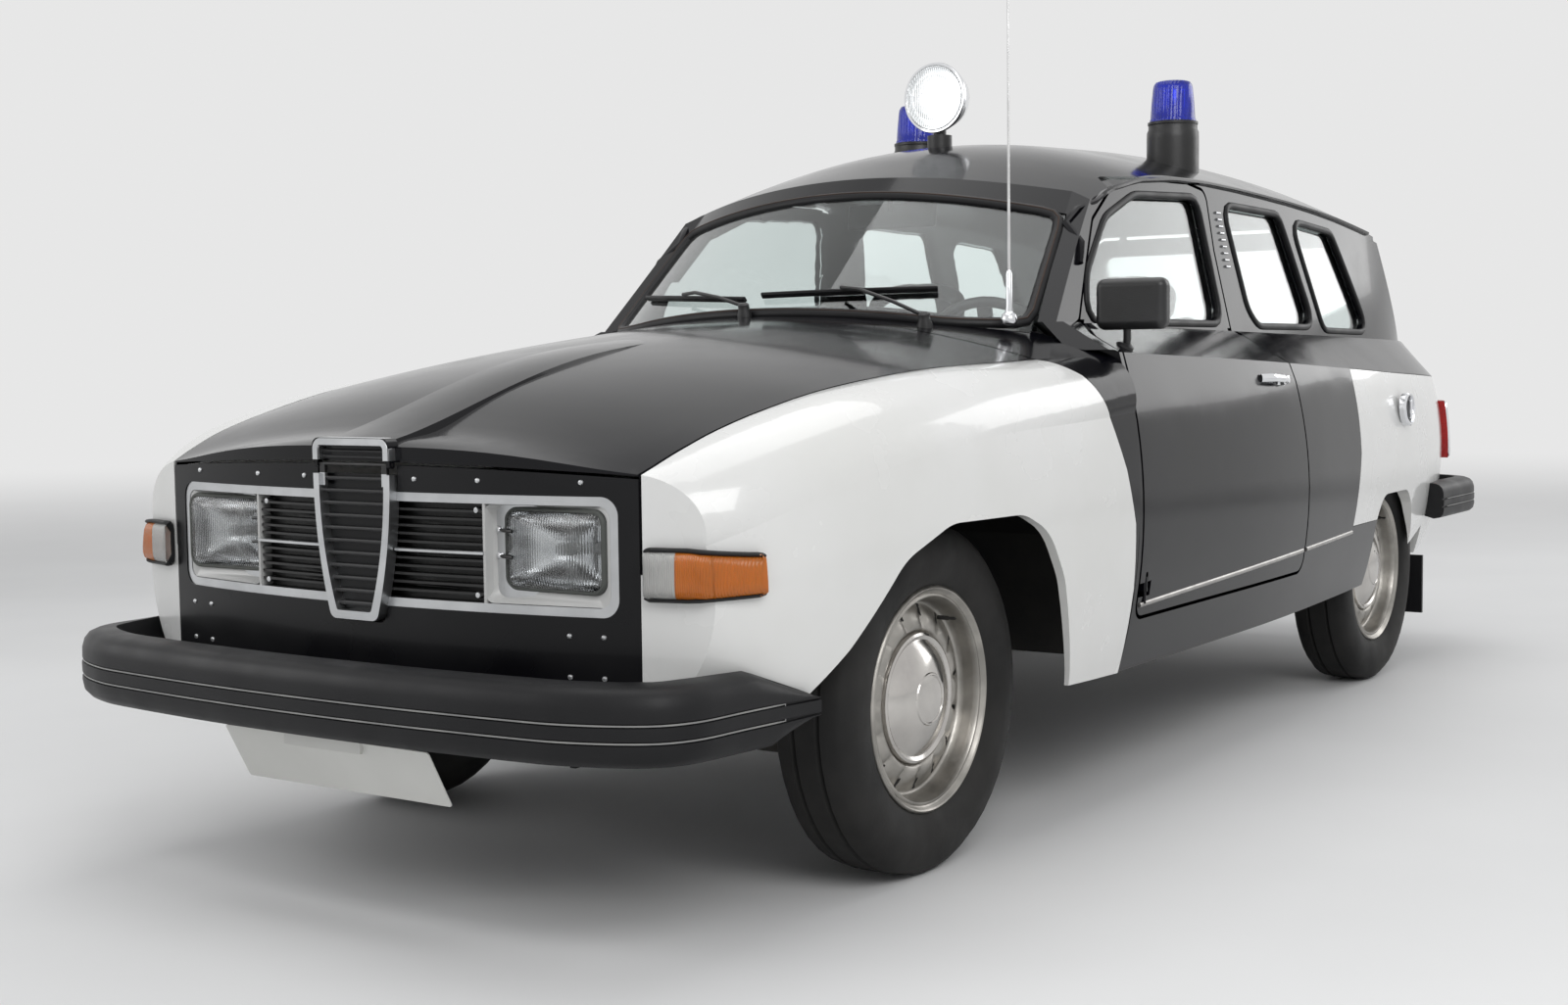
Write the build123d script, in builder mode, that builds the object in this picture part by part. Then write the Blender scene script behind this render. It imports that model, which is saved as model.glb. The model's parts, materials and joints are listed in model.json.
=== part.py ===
"""Two-door estate patrol car, built as separate panels, running gear and fittings.

Millimetres. X points to the car's left, Y to its rear, Z up. The origin is on the
floor, on the centre plane, straight below the front axle.
"""
import os
from collections import namedtuple
from math import cos, pi, sin

from build123d import *

os.makedirs("parts", exist_ok=True)

# Driving dimensions
wheelbase = 2498.0
track = 1220.0
tyre_radius = 317.0
tyre_width = 157.0
hub_height = tyre_radius
rim_radius = 204.0
rim_width = 126.0
skin = 9.0
door_wall = 55.0
frame_wall = 38.0
roof_wall = 26.0
fender_wall = 18.0
glass_inset = 12.0
glass_thick = 5.0
shut_gap = 8.0
rebate = 16.0
seam = 1.5
fit = 0.3
running = 0.05

# Sections of the front end, from the nose to the windscreen
Front = namedtuple("Front", "y x_sill z_sill x_wide z_wide x_line z_line z_crown")
FRONT = [
    Front(-745, 530, 440, 566, 560, 548, 751, 790),
    Front(-680, 584, 425, 620, 560, 548, 757, 805),
    Front(-640, 628, 415, 664, 560, 557, 766, 816),
    Front(-560, 684, 400, 716, 560, 569, 799, 842),
    Front(-420, 722, 370, 750, 560, 580, 838, 890),
    Front(-200, 744, 340, 772, 560, 604, 881, 940),
    Front(100, 752, 310, 783, 560, 640, 911, 985),
    Front(400, 748, 290, 788, 570, 680, 922, 1018),
    Front(680, 742, 280, 790, 580, 718, 936, 1050),
]
front_sections = 16
nose_centre = -736.0
nose_radius = 2300.0
crown_bulge = 0.72
crown_drop = 120.0
crown_tuck = 10.0

# Sections of the cabin below the windows, from the scuttle to the tail
Side = namedtuple("Side", "y x_sill z_sill x_wide z_wide x_crease z_crease x_belt z_belt")
SIDE = [
    Side(600, 741, 282, 790, 620, 744, 936, 616, 1000),
    Side(1400, 736, 282, 783, 620, 740, 912, 612, 986),
    Side(2100, 712, 288, 757, 620, 716, 886, 603, 976),
    Side(2600, 690, 306, 736, 620, 698, 869, 588, 968),
    Side(2950, 664, 345, 712, 620, 676, 857, 568, 963),
    Side(3150, 616, 385, 662, 620, 634, 849, 540, 959),
    Side(3255, 560, 420, 600, 620, 578, 842, 505, 955),
]

# Sections of the roof and window band
Roof = namedtuple("Roof", "y x_drip z_drip z_crown")
ROOF = [
    Roof(420, 560, 1205, 1265),
    Roof(860, 553, 1258, 1352),
    Roof(1165, 546, 1334, 1436),
    Roof(1550, 543, 1351, 1466),
    Roof(1950, 541, 1342, 1478),
    Roof(2350, 537, 1323, 1470),
    Roof(2700, 530, 1298, 1440),
    Roof(3000, 516, 1265, 1398),
    Roof(3200, 500, 1240, 1370),
]
roof_root = 35.0
belt_ledge = 8.0

# Side-view outlines, as (y, z) corners
DOOR = [(662, 395), (662, 962), (758, 1000), (905, 1222), (1062, 1322), (1450, 1334),
        (1556, 1322), (1560, 1180), (1600, 985), (1645, 860), (1662, 600), (1662, 395)]
DOOR_WINDOW = [(800, 1008), (838, 1102), (968, 1226), (1130, 1284), (1492, 1300), (1545, 1008)]
MID_WINDOW = [(1668, 1292), (2055, 1288), (2225, 1004), (1800, 1004), (1745, 1044)]
REAR_WINDOW = [(2158, 1276), (2480, 1260), (2735, 992), (2318, 996)]
FRONT_ARCH = [(-636, -100), (-491, 377), (-383, 461), (-243, 595), (-100, 645), (150, 643),
              (245, 605), (314, 510), (397, 305), (457, -100)]
REAR_ARCH = [(2280, 200), (2290, 475), (2345, 537), (2590, 537), (2640, 500), (2706, 400),
             (2716, 200)]
WING_EDGE = [(400, 1100), (400, 921), (452, 890), (520, 810), (580, 700), (620, 590), (634, 455),
             (634, 200)]
REAR_WING = [(2070, 472), (2125, 660), (2142, 884), (2600, 866), (3400, 838), (3400, 200),
             (2600, 200), (2500, 472)]
TAIL_LINE = [(2870, 1400), (2925, 1310), (3170, 962), (3240, 800), (3252, 400)]
tail_wall = 34.0
beacon_x = 380.0
beacon_y = 1750.0
corner = 30.0
front_arch_round = 150.0
rear_arch_round = 85.0
end_open = 20.0
floor_open = 40.0
belt_open = 8.0


def row_at(rows, y):
    """The section at any place along the car, interpolated smoothly from the table."""
    ys = [r.y for r in rows]
    place = min(max(y, ys[0]), ys[-1])
    steps = [b - a for a, b in zip(ys, ys[1:])]
    k = max(j for j in range(len(steps)) if ys[j] <= place)
    t = (place - ys[k]) / steps[k]
    values = [y]
    for column in range(1, len(rows[0])):
        v = [r[column] for r in rows]
        slopes = [(b - a) / h for a, b, h in zip(v, v[1:], steps)]
        left = slopes[k]
        right = slopes[k]
        if k > 0:
            left = middle_slope(slopes[k - 1], slopes[k], steps[k - 1], steps[k])
        if k < len(steps) - 1:
            right = middle_slope(slopes[k], slopes[k + 1], steps[k], steps[k + 1])
        values.append((1 + 2 * t) * (1 - t) ** 2 * v[k] + t * (1 - t) ** 2 * steps[k] * left
                      + t * t * (3 - 2 * t) * v[k + 1] + t * t * (t - 1) * steps[k] * right)
    return type(rows[0])(*values)


def even_rows(rows, count):
    """The table's sections at evenly spaced places along the car."""
    first = rows[0].y
    reach = rows[-1].y - first
    return [row_at(rows, first + reach * i / (count - 1)) for i in range(count)]


def middle_slope(before, after, step_before, step_after):
    """Slope of a smooth curve where two table intervals meet, without overshoot."""
    if before * after <= 0:
        return 0.0
    w1 = 2 * step_after + step_before
    w2 = step_after + 2 * step_before
    return (w1 + w2) / (w1 / before + w2 / after)


def overrun(y, rows):
    """How far a hollow's end section runs past the skin's end."""
    if y == rows[0].y:
        return -end_open
    if y == rows[-1].y:
        return end_open
    return 0.0


def station(y):
    """Upright plane across the car, with X to the right of the sheet."""
    return Plane(origin=(0, y, 0), x_dir=(1, 0, 0), z_dir=(0, -1, 0))


def front_envelope(inset):
    """Solid front end, held in from the skin by the given wall."""
    with BuildPart() as body:
        for s in even_rows(FRONT, front_sections):
            y = s.y + (overrun(s.y, FRONT) if inset else 0)
            z_sill = s.z_sill - (floor_open if inset else 0)
            xs = s.x_sill - inset
            xw = s.x_wide - inset
            xt = s.x_wide - crown_tuck - inset
            zt = s.z_line - crown_drop
            xl = s.x_line - inset * 0.5
            zl = s.z_line - inset
            zc = s.z_crown - inset
            xm = xl + crown_bulge * (xt - xl)
            zm = zt + crown_bulge * (zl - zt)
            with BuildSketch(station(y)):
                with BuildLine():
                    Line((-xs, z_sill), (xs, z_sill))
                    ThreePointArc((xs, z_sill), (xw, s.z_wide), (xt, zt))
                    ThreePointArc((xt, zt), (xm, zm), (xl, zl))
                    ThreePointArc((xl, zl), (0, zc), (-xl, zl))
                    ThreePointArc((-xl, zl), (-xm, zm), (-xt, zt))
                    ThreePointArc((-xt, zt), (-xw, s.z_wide), (-xs, z_sill))
                make_face()
        loft()
    return body.part


def side_envelope(inset):
    """Solid cabin below the windows, held in by the given wall."""
    with BuildPart() as body:
        for s in even_rows(SIDE, 11):
            y = s.y + (overrun(s.y, SIDE) if inset else 0)
            z_sill = s.z_sill - (floor_open if inset else 0)
            xs = s.x_sill - inset
            xw = s.x_wide - inset
            xc = s.x_crease - inset
            xb = s.x_belt - inset
            zc = s.z_crease - inset * 0.4
            zb = s.z_belt + (belt_open if inset else 0)
            with BuildSketch(station(y)):
                with BuildLine():
                    Line((-xs, z_sill), (xs, z_sill))
                    ThreePointArc((xs, z_sill), (xw, s.z_wide), (xc, zc))
                    Line((xc, zc), (xb, zb))
                    Line((xb, zb), (-xb, zb))
                    Line((-xb, zb), (-xc, zc))
                    ThreePointArc((-xc, zc), (-xw, s.z_wide), (-xs, z_sill))
                make_face()
        loft()
    return body.part


def roof_envelope(inset, top_inset):
    """Solid window band and roof, held in by the given walls."""
    with BuildPart() as body:
        for s in even_rows(ROOF, 12):
            y = s.y + (overrun(s.y, ROOF) if inset else 0)
            belt = row_at(SIDE, s.y)
            xb = belt.x_belt - belt_ledge - inset
            xd = s.x_drip - inset
            zb = belt.z_belt - roof_root - (belt_open if inset else 0)
            zd = s.z_drip - top_inset * 0.8
            zc = s.z_crown - top_inset
            with BuildSketch(station(y)):
                with BuildLine():
                    Line((-xb, zb), (xb, zb))
                    Line((xb, zb), (xd, zd))
                    ThreePointArc((xd, zd), (0, zc), (-xd, zd))
                    Line((-xd, zd), (-xb, zb))
                make_face()
        loft()
    return body.part


def side_prism(corners, x_low, x_high, grow=0.0, radius=corner):
    """Side-view outline pushed across the car between two X values."""
    with BuildPart() as tool:
        with BuildSketch(Plane.YZ.offset(x_low)) as outline:
            with BuildLine():
                Polyline(*corners, close=True)
            make_face()
            if radius > 0:
                fillet(outline.vertices(), radius=radius)
            if grow != 0:
                offset(amount=grow, kind=Kind.INTERSECTION)
        extrude(amount=x_high - x_low)
    return tool.part


def plan_prism(corners, z_low, z_high):
    """Plan outline pushed upward between two heights."""
    with BuildPart() as tool:
        with BuildSketch(Plane.XY.offset(z_low)):
            with BuildLine():
                Polyline(*corners, close=True)
            make_face()
        extrude(amount=z_high - z_low)
    return tool.part


def block(x_low, x_high, y_low, y_high, z_low, z_high):
    """Box between two corners."""
    with BuildPart() as piece:
        with BuildSketch(Plane.XY.offset(z_low)):
            with Locations(((x_low + x_high) / 2, (y_low + y_high) / 2)):
                Rectangle(x_high - x_low, y_high - y_low)
        extrude(amount=z_high - z_low)
    return piece.part


def across(x_low, x_high, y, z, radius):
    """Round bar across the car."""
    with BuildPart() as bar:
        with BuildSketch(Plane.YZ.offset(x_low)):
            with Locations((y, z)):
                Circle(radius)
        extrude(amount=x_high - x_low)
    return bar.part


def upright(x, y, z_low, z_high, radius):
    """Upright round bar."""
    with BuildPart() as bar:
        with BuildSketch(Plane.XY.offset(z_low)):
            with Locations((x, y)):
                Circle(radius)
        extrude(amount=z_high - z_low)
    return bar.part


def save(part, name):
    """Labels a finished piece and writes it."""
    part.label = name
    export_step(part, f"parts/{name}.step")


def mirrored(part):
    """The same piece on the car's other side."""
    with BuildPart() as other:
        mirror(part, about=Plane.YZ)
    return other.part


def nose_edge_y(x):
    """Y of the nose's plan curve at a distance from the centre plane."""
    return nose_centre + nose_radius - (nose_radius ** 2 - x ** 2) ** 0.5


def plan_ring(front_gap, depth, z_low, z_high, reach):
    """Upright slab that follows the nose's plan curve, set back by a gap."""
    with BuildPart() as slab:
        with BuildSketch(Plane.XY.offset(z_low)):
            with BuildLine():
                a = (-reach, nose_edge_y(reach) + front_gap)
                b = (0, nose_centre + front_gap)
                c = (reach, nose_edge_y(reach) + front_gap)
                ThreePointArc(a, b, c)
                Line(c, (c[0], c[1] + depth))
                ThreePointArc((c[0], c[1] + depth), (0, b[1] + depth), (a[0], a[1] + depth))
                Line((a[0], a[1] + depth), a)
            make_face()
        extrude(amount=z_high - z_low)
    return slab.part


def behind_nose(solid, back):
    """The part of a solid that lies behind the nose's plan curve, set back by a wall."""
    with BuildPart() as piece:
        add(solid)
        add(plan_ring(back, front_reach, 0, tall, half), mode=Mode.INTERSECT)
    return piece.part


half = 900.0
tall = 1600.0
nose_y = -1000.0
front_reach = 1800.0
front_outer = behind_nose(front_envelope(0), 0)
front_inner = behind_nose(front_envelope(fender_wall), fender_wall)
side_outer = side_envelope(0)
side_skin = side_envelope(skin)
side_inner = side_envelope(door_wall)
roof_outer = roof_envelope(0, 0)
roof_skin = roof_envelope(skin, skin)
roof_glass = roof_envelope(glass_inset, glass_inset)
roof_glass_back = roof_envelope(glass_inset + glass_thick, glass_inset + glass_thick)
roof_inner = roof_envelope(frame_wall, roof_wall)

# Plan line between hood and fenders
hood_line = [(s.x_line, s.y) for s in FRONT]

# Hollow cabin shell: lower sides, window band and roof as one wall, to be cut into panels
with BuildPart() as lower_shell:
    add(side_outer)
    add(side_inner, mode=Mode.SUBTRACT)
    add(roof_inner, mode=Mode.SUBTRACT)
    with BuildSketch(Plane.XY.offset(200)):
        Rectangle(2 * (SIDE[0].x_sill - door_wall - 40), 8000)
    extrude(amount=220, mode=Mode.SUBTRACT)
with BuildPart() as upper_shell:
    add(roof_outer)
    add(roof_inner, mode=Mode.SUBTRACT)
    add(side_outer, mode=Mode.SUBTRACT)

# Everything ahead of the windscreen's outer face, and the glass itself
WS_LOW = 940.0
WS_HIGH = 1420.0
ws_low = (328.0, 250.0, 560.0)
ws_high = (930.0, 120.0, 480.0)


def screen_points(z, back):
    """Corner and centre points of the windscreen's plan arc at one height."""
    share = (z - WS_LOW) / (WS_HIGH - WS_LOW)
    centre = ws_low[0] + share * (ws_high[0] - ws_low[0]) + back
    bow = ws_low[1] + share * (ws_high[1] - ws_low[1])
    reach = ws_low[2] + share * (ws_high[2] - ws_low[2])
    return (-reach, centre + bow), (0, centre), (reach, centre + bow)


def ahead_solid(back):
    """Everything ahead of the windscreen surface."""
    with BuildPart() as slab:
        for z in (WS_LOW, WS_HIGH):
            a, b, c = screen_points(z, back)
            with BuildSketch(Plane.XY.offset(z)):
                with BuildLine():
                    ThreePointArc(a, b, c)
                    Polyline(c, (half, c[1] + 60), (half, nose_y), (-half, nose_y), (-half, a[1] + 60), a)
                make_face()
        loft()
    return slab.part


def screen_solid(front_back, rear_back):
    """Slab between two copies of the windscreen surface."""
    with BuildPart() as slab:
        for z in (WS_LOW, WS_HIGH):
            a0, b0, c0 = screen_points(z, front_back)
            a1, b1, c1 = screen_points(z, rear_back)
            with BuildSketch(Plane.XY.offset(z)):
                with BuildLine():
                    ThreePointArc(a0, b0, c0)
                    Line(c0, c1)
                    ThreePointArc(c1, b1, a1)
                    Line(a1, a0)
                make_face()
        loft()
    return slab.part


# Windscreen glass, and all that lies ahead of it
screen_ahead = ahead_solid(-fit)
with BuildPart() as windscreen:
    add(screen_solid(4, 4 + glass_thick))
    add(roof_envelope(frame_wall + fit, roof_wall + fit), mode=Mode.INTERSECT)
    add(front_outer, mode=Mode.SUBTRACT)
save(windscreen.part, "windscreen")

# Front wings, cut from the front end between hood, door and wheel arch
with BuildPart() as front_shell:
    add(front_outer)
    add(front_inner, mode=Mode.SUBTRACT)
wing_region = side_prism([(nose_y, 150), (nose_y, 1100)] + WING_EDGE, 0, half, radius=0)
hood_wide = plan_prism([(x + seam, y) for x, y in hood_line]
                       + [(0, hood_line[-1][1]), (0, nose_y), (hood_line[0][0] + seam, nose_y)], 600, tall)
nose_half = 547.0
nose_wall = 20.0
nose_behind = nose_edge_y(nose_half) + nose_wall + shut_gap
with BuildPart() as front_wing_left:
    add(front_shell.part)
    add(wing_region, mode=Mode.INTERSECT)
    add(hood_wide, mode=Mode.SUBTRACT)
    add(side_prism(FRONT_ARCH, 300, half, radius=front_arch_round), mode=Mode.SUBTRACT)
    add(block(0, nose_half + seam, nose_y, nose_behind, 0, tall), mode=Mode.SUBTRACT)
    with BuildSketch(Plane.XY.offset(200)):
        Rectangle(2 * 500, 3000)
    extrude(amount=420, mode=Mode.SUBTRACT)
wing_solid = front_wing_left.part.solids().sort_by(SortBy.VOLUME)[-1]
with BuildPart() as front_wing:
    add(wing_solid)
save(front_wing.part, "front_fender_left")
save(mirrored(front_wing.part), "front_fender_right")

# Hood skin between the wings, with a lip over the nose, a centre bulge and the shield's cap
hood_rear = 396.0
scuttle_rear = DOOR[0][0] - shut_gap - 16
hood_gap = 4.0
lip_gap = 5.0
nose_low = 384.0
nose_high = 748.0
nose_rise = 16.0
hood_region = plan_prism([(x - hood_gap, y) for x, y in hood_line if y < hood_rear]
                         + [(675, hood_rear), (-675, hood_rear)]
                         + [(-x + hood_gap, y) for x, y in reversed(hood_line) if y < hood_rear], 600, tall)


def below_arch(grow):
    """Front-view region under the nose panel's arched top, grown by a gap."""
    with BuildPart() as region:
        with BuildSketch(station(-500)):
            with BuildLine():
                Polyline((-nose_half, nose_high + grow), (-nose_half, nose_low), (nose_half, nose_low),
                         (nose_half, nose_high + grow))
                ThreePointArc((nose_half, nose_high + grow), (0, nose_high + nose_rise + grow),
                              (-nose_half, nose_high + grow))
            make_face()
        extrude(amount=400)
    return region.part


with BuildPart() as lip_room:
    add(below_arch(lip_gap))
    add(plan_ring(-nose_wall, 2 * nose_wall + shut_gap, nose_low, tall, nose_half), mode=Mode.INTERSECT)

# Places along the hood where its centre bulge stands this far above the skin
BULGE = [(-760, 13), (-560, 12), (-330, 9), (-80, 4), (150, -5)]
bulge_half = 90.0
bulge_shoulder = 12.0
bulge_root = 10.0
with BuildPart() as hood_bulge:
    for y, rise in BULGE:
        crown = row_at(FRONT, y).z_crown
        inner = bulge_half - bulge_shoulder
        with BuildSketch(station(y)):
            with BuildLine():
                Polyline((-inner, crown + rise - 4), (-bulge_half, crown - bulge_root),
                         (bulge_half, crown - bulge_root), (inner, crown + rise - 4))
                ThreePointArc((inner, crown + rise - 4), (0, crown + rise), (-inner, crown + rise - 4))
            make_face()
    loft()

# The shield's cap stands on the lip, and its feet turn on the rod in the grille's shield
hood_pin_y = -741.0
hood_pin_z = 764.0
hood_pin = 3.0
hood_barrel = 6.0
hood_lug_x = 81.0
hood_lug = 8.5
rod_post = 12.0
cap_half = 90.0
cap_bar = 14.0
cap_low = 771.0
cap_high = 808.0
cap_front = -750.0
cap_back = -726.0
with BuildPart() as cap:
    with BuildSketch(station(cap_back)) as outline:
        with BuildLine():
            Polyline((-cap_half, cap_low), (-cap_half, cap_high), (cap_half, cap_high), (cap_half, cap_low),
                     (cap_half - cap_bar, cap_low), (cap_half - cap_bar, cap_high - cap_bar),
                     (-cap_half + cap_bar, cap_high - cap_bar), (-cap_half + cap_bar, cap_low), close=True)
        make_face()
        fillet(outline.vertices().group_by(Axis.Y)[-1], radius=cap_bar)
    extrude(amount=cap_back - cap_front)
with BuildPart() as hood:
    add(front_shell.part)
    add(hood_region, mode=Mode.INTERSECT)
    add(lip_room.part, mode=Mode.SUBTRACT)
    add(behind_nose(hood_bulge.part, 0))
    add(cap.part)
    for side in (-1, 1):
        low, high = sorted((side * hood_lug_x, side * (hood_lug_x + hood_lug)))
        add(block(low, high, hood_pin_y - hood_barrel, hood_pin_y + hood_barrel, hood_pin_z, cap_low + 1))
        add(across(low, high, hood_pin_y, hood_pin_z, hood_barrel))
        add(across(low - 1, high + 1, hood_pin_y, hood_pin_z, hood_pin + running), mode=Mode.SUBTRACT)
save(hood.part.solids().sort_by(SortBy.VOLUME)[-1], "hood")

# Scuttle between hood, windscreen and doors
scuttle_front = hood_rear + 6
scuttle_region = side_prism([(scuttle_front, 1100)]
                            + [(max(y + seam, scuttle_front), z) for y, z in WING_EDGE[1:-1]]
                            + [(scuttle_rear, 440), (scuttle_rear, 1100)], -half, half, radius=0)
with BuildPart() as scuttle:
    add(front_outer)
    add(front_inner, mode=Mode.SUBTRACT)
    add(scuttle_region, mode=Mode.INTERSECT)
    with BuildSketch(Plane.XY.offset(200)):
        Rectangle(2 * 600, 3000)
    extrude(amount=640, mode=Mode.SUBTRACT)
save(scuttle.part, "scuttle")

# Doors: a thin skin over an inner part that is set back all round, with two barrel hinges each
door_region = side_prism(DOOR, 300, half)
door_core = side_prism(DOOR, 300, half, grow=-rebate)
door_hole = side_prism(DOOR, 300, half, grow=shut_gap)
window_hole = side_prism(DOOR_WINDOW, 300, half)
with BuildPart() as door_skin:
    add(lower_shell.part)
    add(upper_shell.part)
    add(side_skin, mode=Mode.SUBTRACT)
    add(roof_skin, mode=Mode.SUBTRACT)
    add(door_region, mode=Mode.INTERSECT)
with BuildPart() as door_left:
    add(lower_shell.part)
    add(upper_shell.part)
    add(door_core, mode=Mode.INTERSECT)
    add(door_skin.part)
    add(window_hole, mode=Mode.SUBTRACT)
door_solid = door_left.part.solids().sort_by(SortBy.VOLUME)[-1]
hinge_x = 776.0
hinge_y = 692.0
hinge_half = 15.0
hinge_pin = 3.0
hinge_barrel = 6.0
hinge_places = (460.0, 640.0)
hinge_room = 10.0
hinge_skin = 781.0
with BuildPart() as hinge_straps:
    for z in hinge_places:
        add(block(hinge_x - 52, hinge_x - 32, scuttle_rear + 4, hinge_y + hinge_barrel,
                  z - hinge_half, z + hinge_half))
        add(block(hinge_x - 52, hinge_x, hinge_y - hinge_barrel, hinge_y + hinge_barrel,
                  z - hinge_half, z + hinge_half))
        add(upright(hinge_x, hinge_y, z - hinge_half, z + hinge_half, hinge_barrel))
        add(upright(hinge_x, hinge_y, z - hinge_half - 1, z + hinge_half + 1, hinge_pin + running),
            mode=Mode.SUBTRACT)
with BuildPart() as door:
    add(door_solid)
    for z in hinge_places:
        low = z - hinge_half - hinge_room
        high = z + hinge_half + hinge_room
        add(block(hinge_x - 90, hinge_skin - 1, DOOR[0][0] - 5, hinge_y + 25, low, high), mode=Mode.SUBTRACT)
        add(upright(hinge_x, hinge_y, low, high, hinge_barrel + 2), mode=Mode.SUBTRACT)
        add(upright(hinge_x, hinge_y, low - 15, high + 15, hinge_pin))
save(door.part, "door_left")
save(mirrored(door.part), "door_right")

# Roof and side frames, split just below the drip rail, with pins for the tailgate's lugs
gate_gap = 14.0
gate_pin_y = 2920.0
gate_pin_z = 1316.0
gate_pin = 3.0
gate_barrel = 7.0
gate_lug_x = 300.0
gate_lug = 20.0
split_line = [(300, 1180), (860, 1246), (1165, 1322), (1550, 1339), (1950, 1330), (2350, 1311),
              (2700, 1286), (3000, 1253), (3300, 1220)]
above = side_prism(split_line + [(3300, tall), (300, tall)], -half, half, radius=0)
below = side_prism(split_line + [(3300, 100), (300, 100)], 0, half, radius=0)
tail_cut = side_prism(TAIL_LINE + [(3700, 400), (3700, 1400)], -half, half, radius=0)
header = side_prism([TAIL_LINE[0], TAIL_LINE[1], (TAIL_LINE[1][0] - tail_wall, TAIL_LINE[1][1]),
                     (TAIL_LINE[0][0] - tail_wall, TAIL_LINE[0][1])], -half, half, radius=0)
with BuildPart() as roof_header:
    add(header)
    add(roof_outer, mode=Mode.INTERSECT)
with BuildPart() as roof:
    add(upper_shell.part)
    add(above, mode=Mode.INTERSECT)
    add(screen_ahead, mode=Mode.SUBTRACT)
    add(door_hole, mode=Mode.SUBTRACT)
    add(mirrored(door_hole), mode=Mode.SUBTRACT)
    add(block(-half, half, gate_pin_y + 2, 3400, 1100, tall), mode=Mode.SUBTRACT)
    add(roof_header.part)
    for side in (-1, 1):
        middle = side * gate_lug_x
        room = gate_lug / 2 + 5
        gate_room = across(middle - room, middle + room, gate_pin_y, gate_pin_z, gate_barrel + 6)
        add(gate_room, mode=Mode.SUBTRACT)
        add(across(middle - gate_lug, middle + gate_lug, gate_pin_y, gate_pin_z, gate_pin))
save(roof.part, "roof")

wing_rear_region = side_prism(REAR_WING, 300, half, radius=0)
wing_rear_hole = side_prism(REAR_WING, 300, half, grow=seam, radius=0)
front_body = block(-half, half, nose_y, scuttle_rear + seam, 100, 940)
with BuildPart() as front_keep:
    add(front_outer)
    add(block(-half, half, nose_y, scuttle_rear, 100, tall), mode=Mode.INTERSECT)
rear_tyre_room = tyre_radius + 34
with BuildPart() as wheel_room:
    with BuildSketch(Plane.YZ.offset(500)):
        with Locations((wheelbase, hub_height)):
            Circle(rear_tyre_room)
    extrude(amount=200)
with BuildPart() as side_frame:
    add(lower_shell.part)
    add(upper_shell.part)
    add(front_body, mode=Mode.SUBTRACT)
    add(front_keep.part, mode=Mode.SUBTRACT)
    add(wheel_room.part, mode=Mode.SUBTRACT)
    add(below, mode=Mode.INTERSECT)
    add(door_hole, mode=Mode.SUBTRACT)
    add(wing_rear_hole, mode=Mode.SUBTRACT)
    add(side_prism(MID_WINDOW, 300, half), mode=Mode.SUBTRACT)
    add(side_prism(REAR_WINDOW, 300, half), mode=Mode.SUBTRACT)
    add(screen_ahead, mode=Mode.SUBTRACT)
    add(tail_cut, mode=Mode.SUBTRACT)
    add(side_prism(REAR_ARCH, 300, half, radius=rear_arch_round), mode=Mode.SUBTRACT)
    add(hinge_straps.part)
save(side_frame.part, "side_frame_left")
save(mirrored(side_frame.part), "side_frame_right")
with BuildPart() as rear_wing:
    add(lower_shell.part)
    add(wing_rear_region, mode=Mode.INTERSECT)
    add(wheel_room.part, mode=Mode.SUBTRACT)
    add(side_prism(REAR_ARCH, 300, half, radius=rear_arch_round), mode=Mode.SUBTRACT)
    add(tail_cut, mode=Mode.SUBTRACT)
save(rear_wing.part, "rear_fender_left")
save(mirrored(rear_wing.part), "rear_fender_right")


def front_window(points, y_low=-900.0, y_high=-500.0, radius=0.0):
    """Front-view outline, as (x, z) corners, pushed along the car."""
    with BuildPart() as tool:
        with BuildSketch(station(y_high)) as outline:
            with BuildLine():
                Polyline(*points, close=True)
            make_face()
            if radius > 0:
                fillet(outline.vertices(), radius=radius)
        extrude(amount=y_high - y_low)
    return tool.part


def rectangle(x_low, x_high, z_low, z_high):
    """Corners of an upright rectangle in front view."""
    return [(x_low, z_low), (x_high, z_low), (x_high, z_high), (x_low, z_high)]


# Nose: black panel round the grille, with the hood's hinge pins
rail_x = 300.0
rail_width = 50.0
rail_low = 300.0
rail_high = 380.0
rail_front = -680.0
grille_half = 512.0
grille_low = 530.0
grille_high = 720.0
frame_rim = 15.0
with BuildPart() as nose_panel:
    add(plan_ring(0, nose_wall, nose_low, tall, nose_half))
    add(below_arch(0), mode=Mode.INTERSECT)
    add(front_window(rectangle(-grille_half, grille_half, grille_low, grille_high), radius=30),
        mode=Mode.SUBTRACT)
    for side in (-1, 1):
        add(block(side * 200 - 20, side * 200 + 20, -715, rail_front - fit, 340, nose_low + 16))

# Grille: rim, slats and the plate behind them that holds the lamps, with a centre shield ahead
slat_half = 264.0
slat_count = 11
slat_height = 4.0
slat_pitch = (grille_high - grille_low - 2 * frame_rim) / (slat_count + 1)
shield_top = 90.0
shield_middle = 83.0
shield_bottom = 54.0
shield_high = 748.0
shield_waist = 640.0
shield_low = 505.0
shield_corner = 16.0
shield_frame = 14.0
shield_depth = 22.0
lamp_x = 387.0
lamp_z = 632.0
lamp_width = 200.0
lamp_height = 127.0
lamp_front = -678.0
lamp_depth = 58.0
slat_set = 8.0


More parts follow.
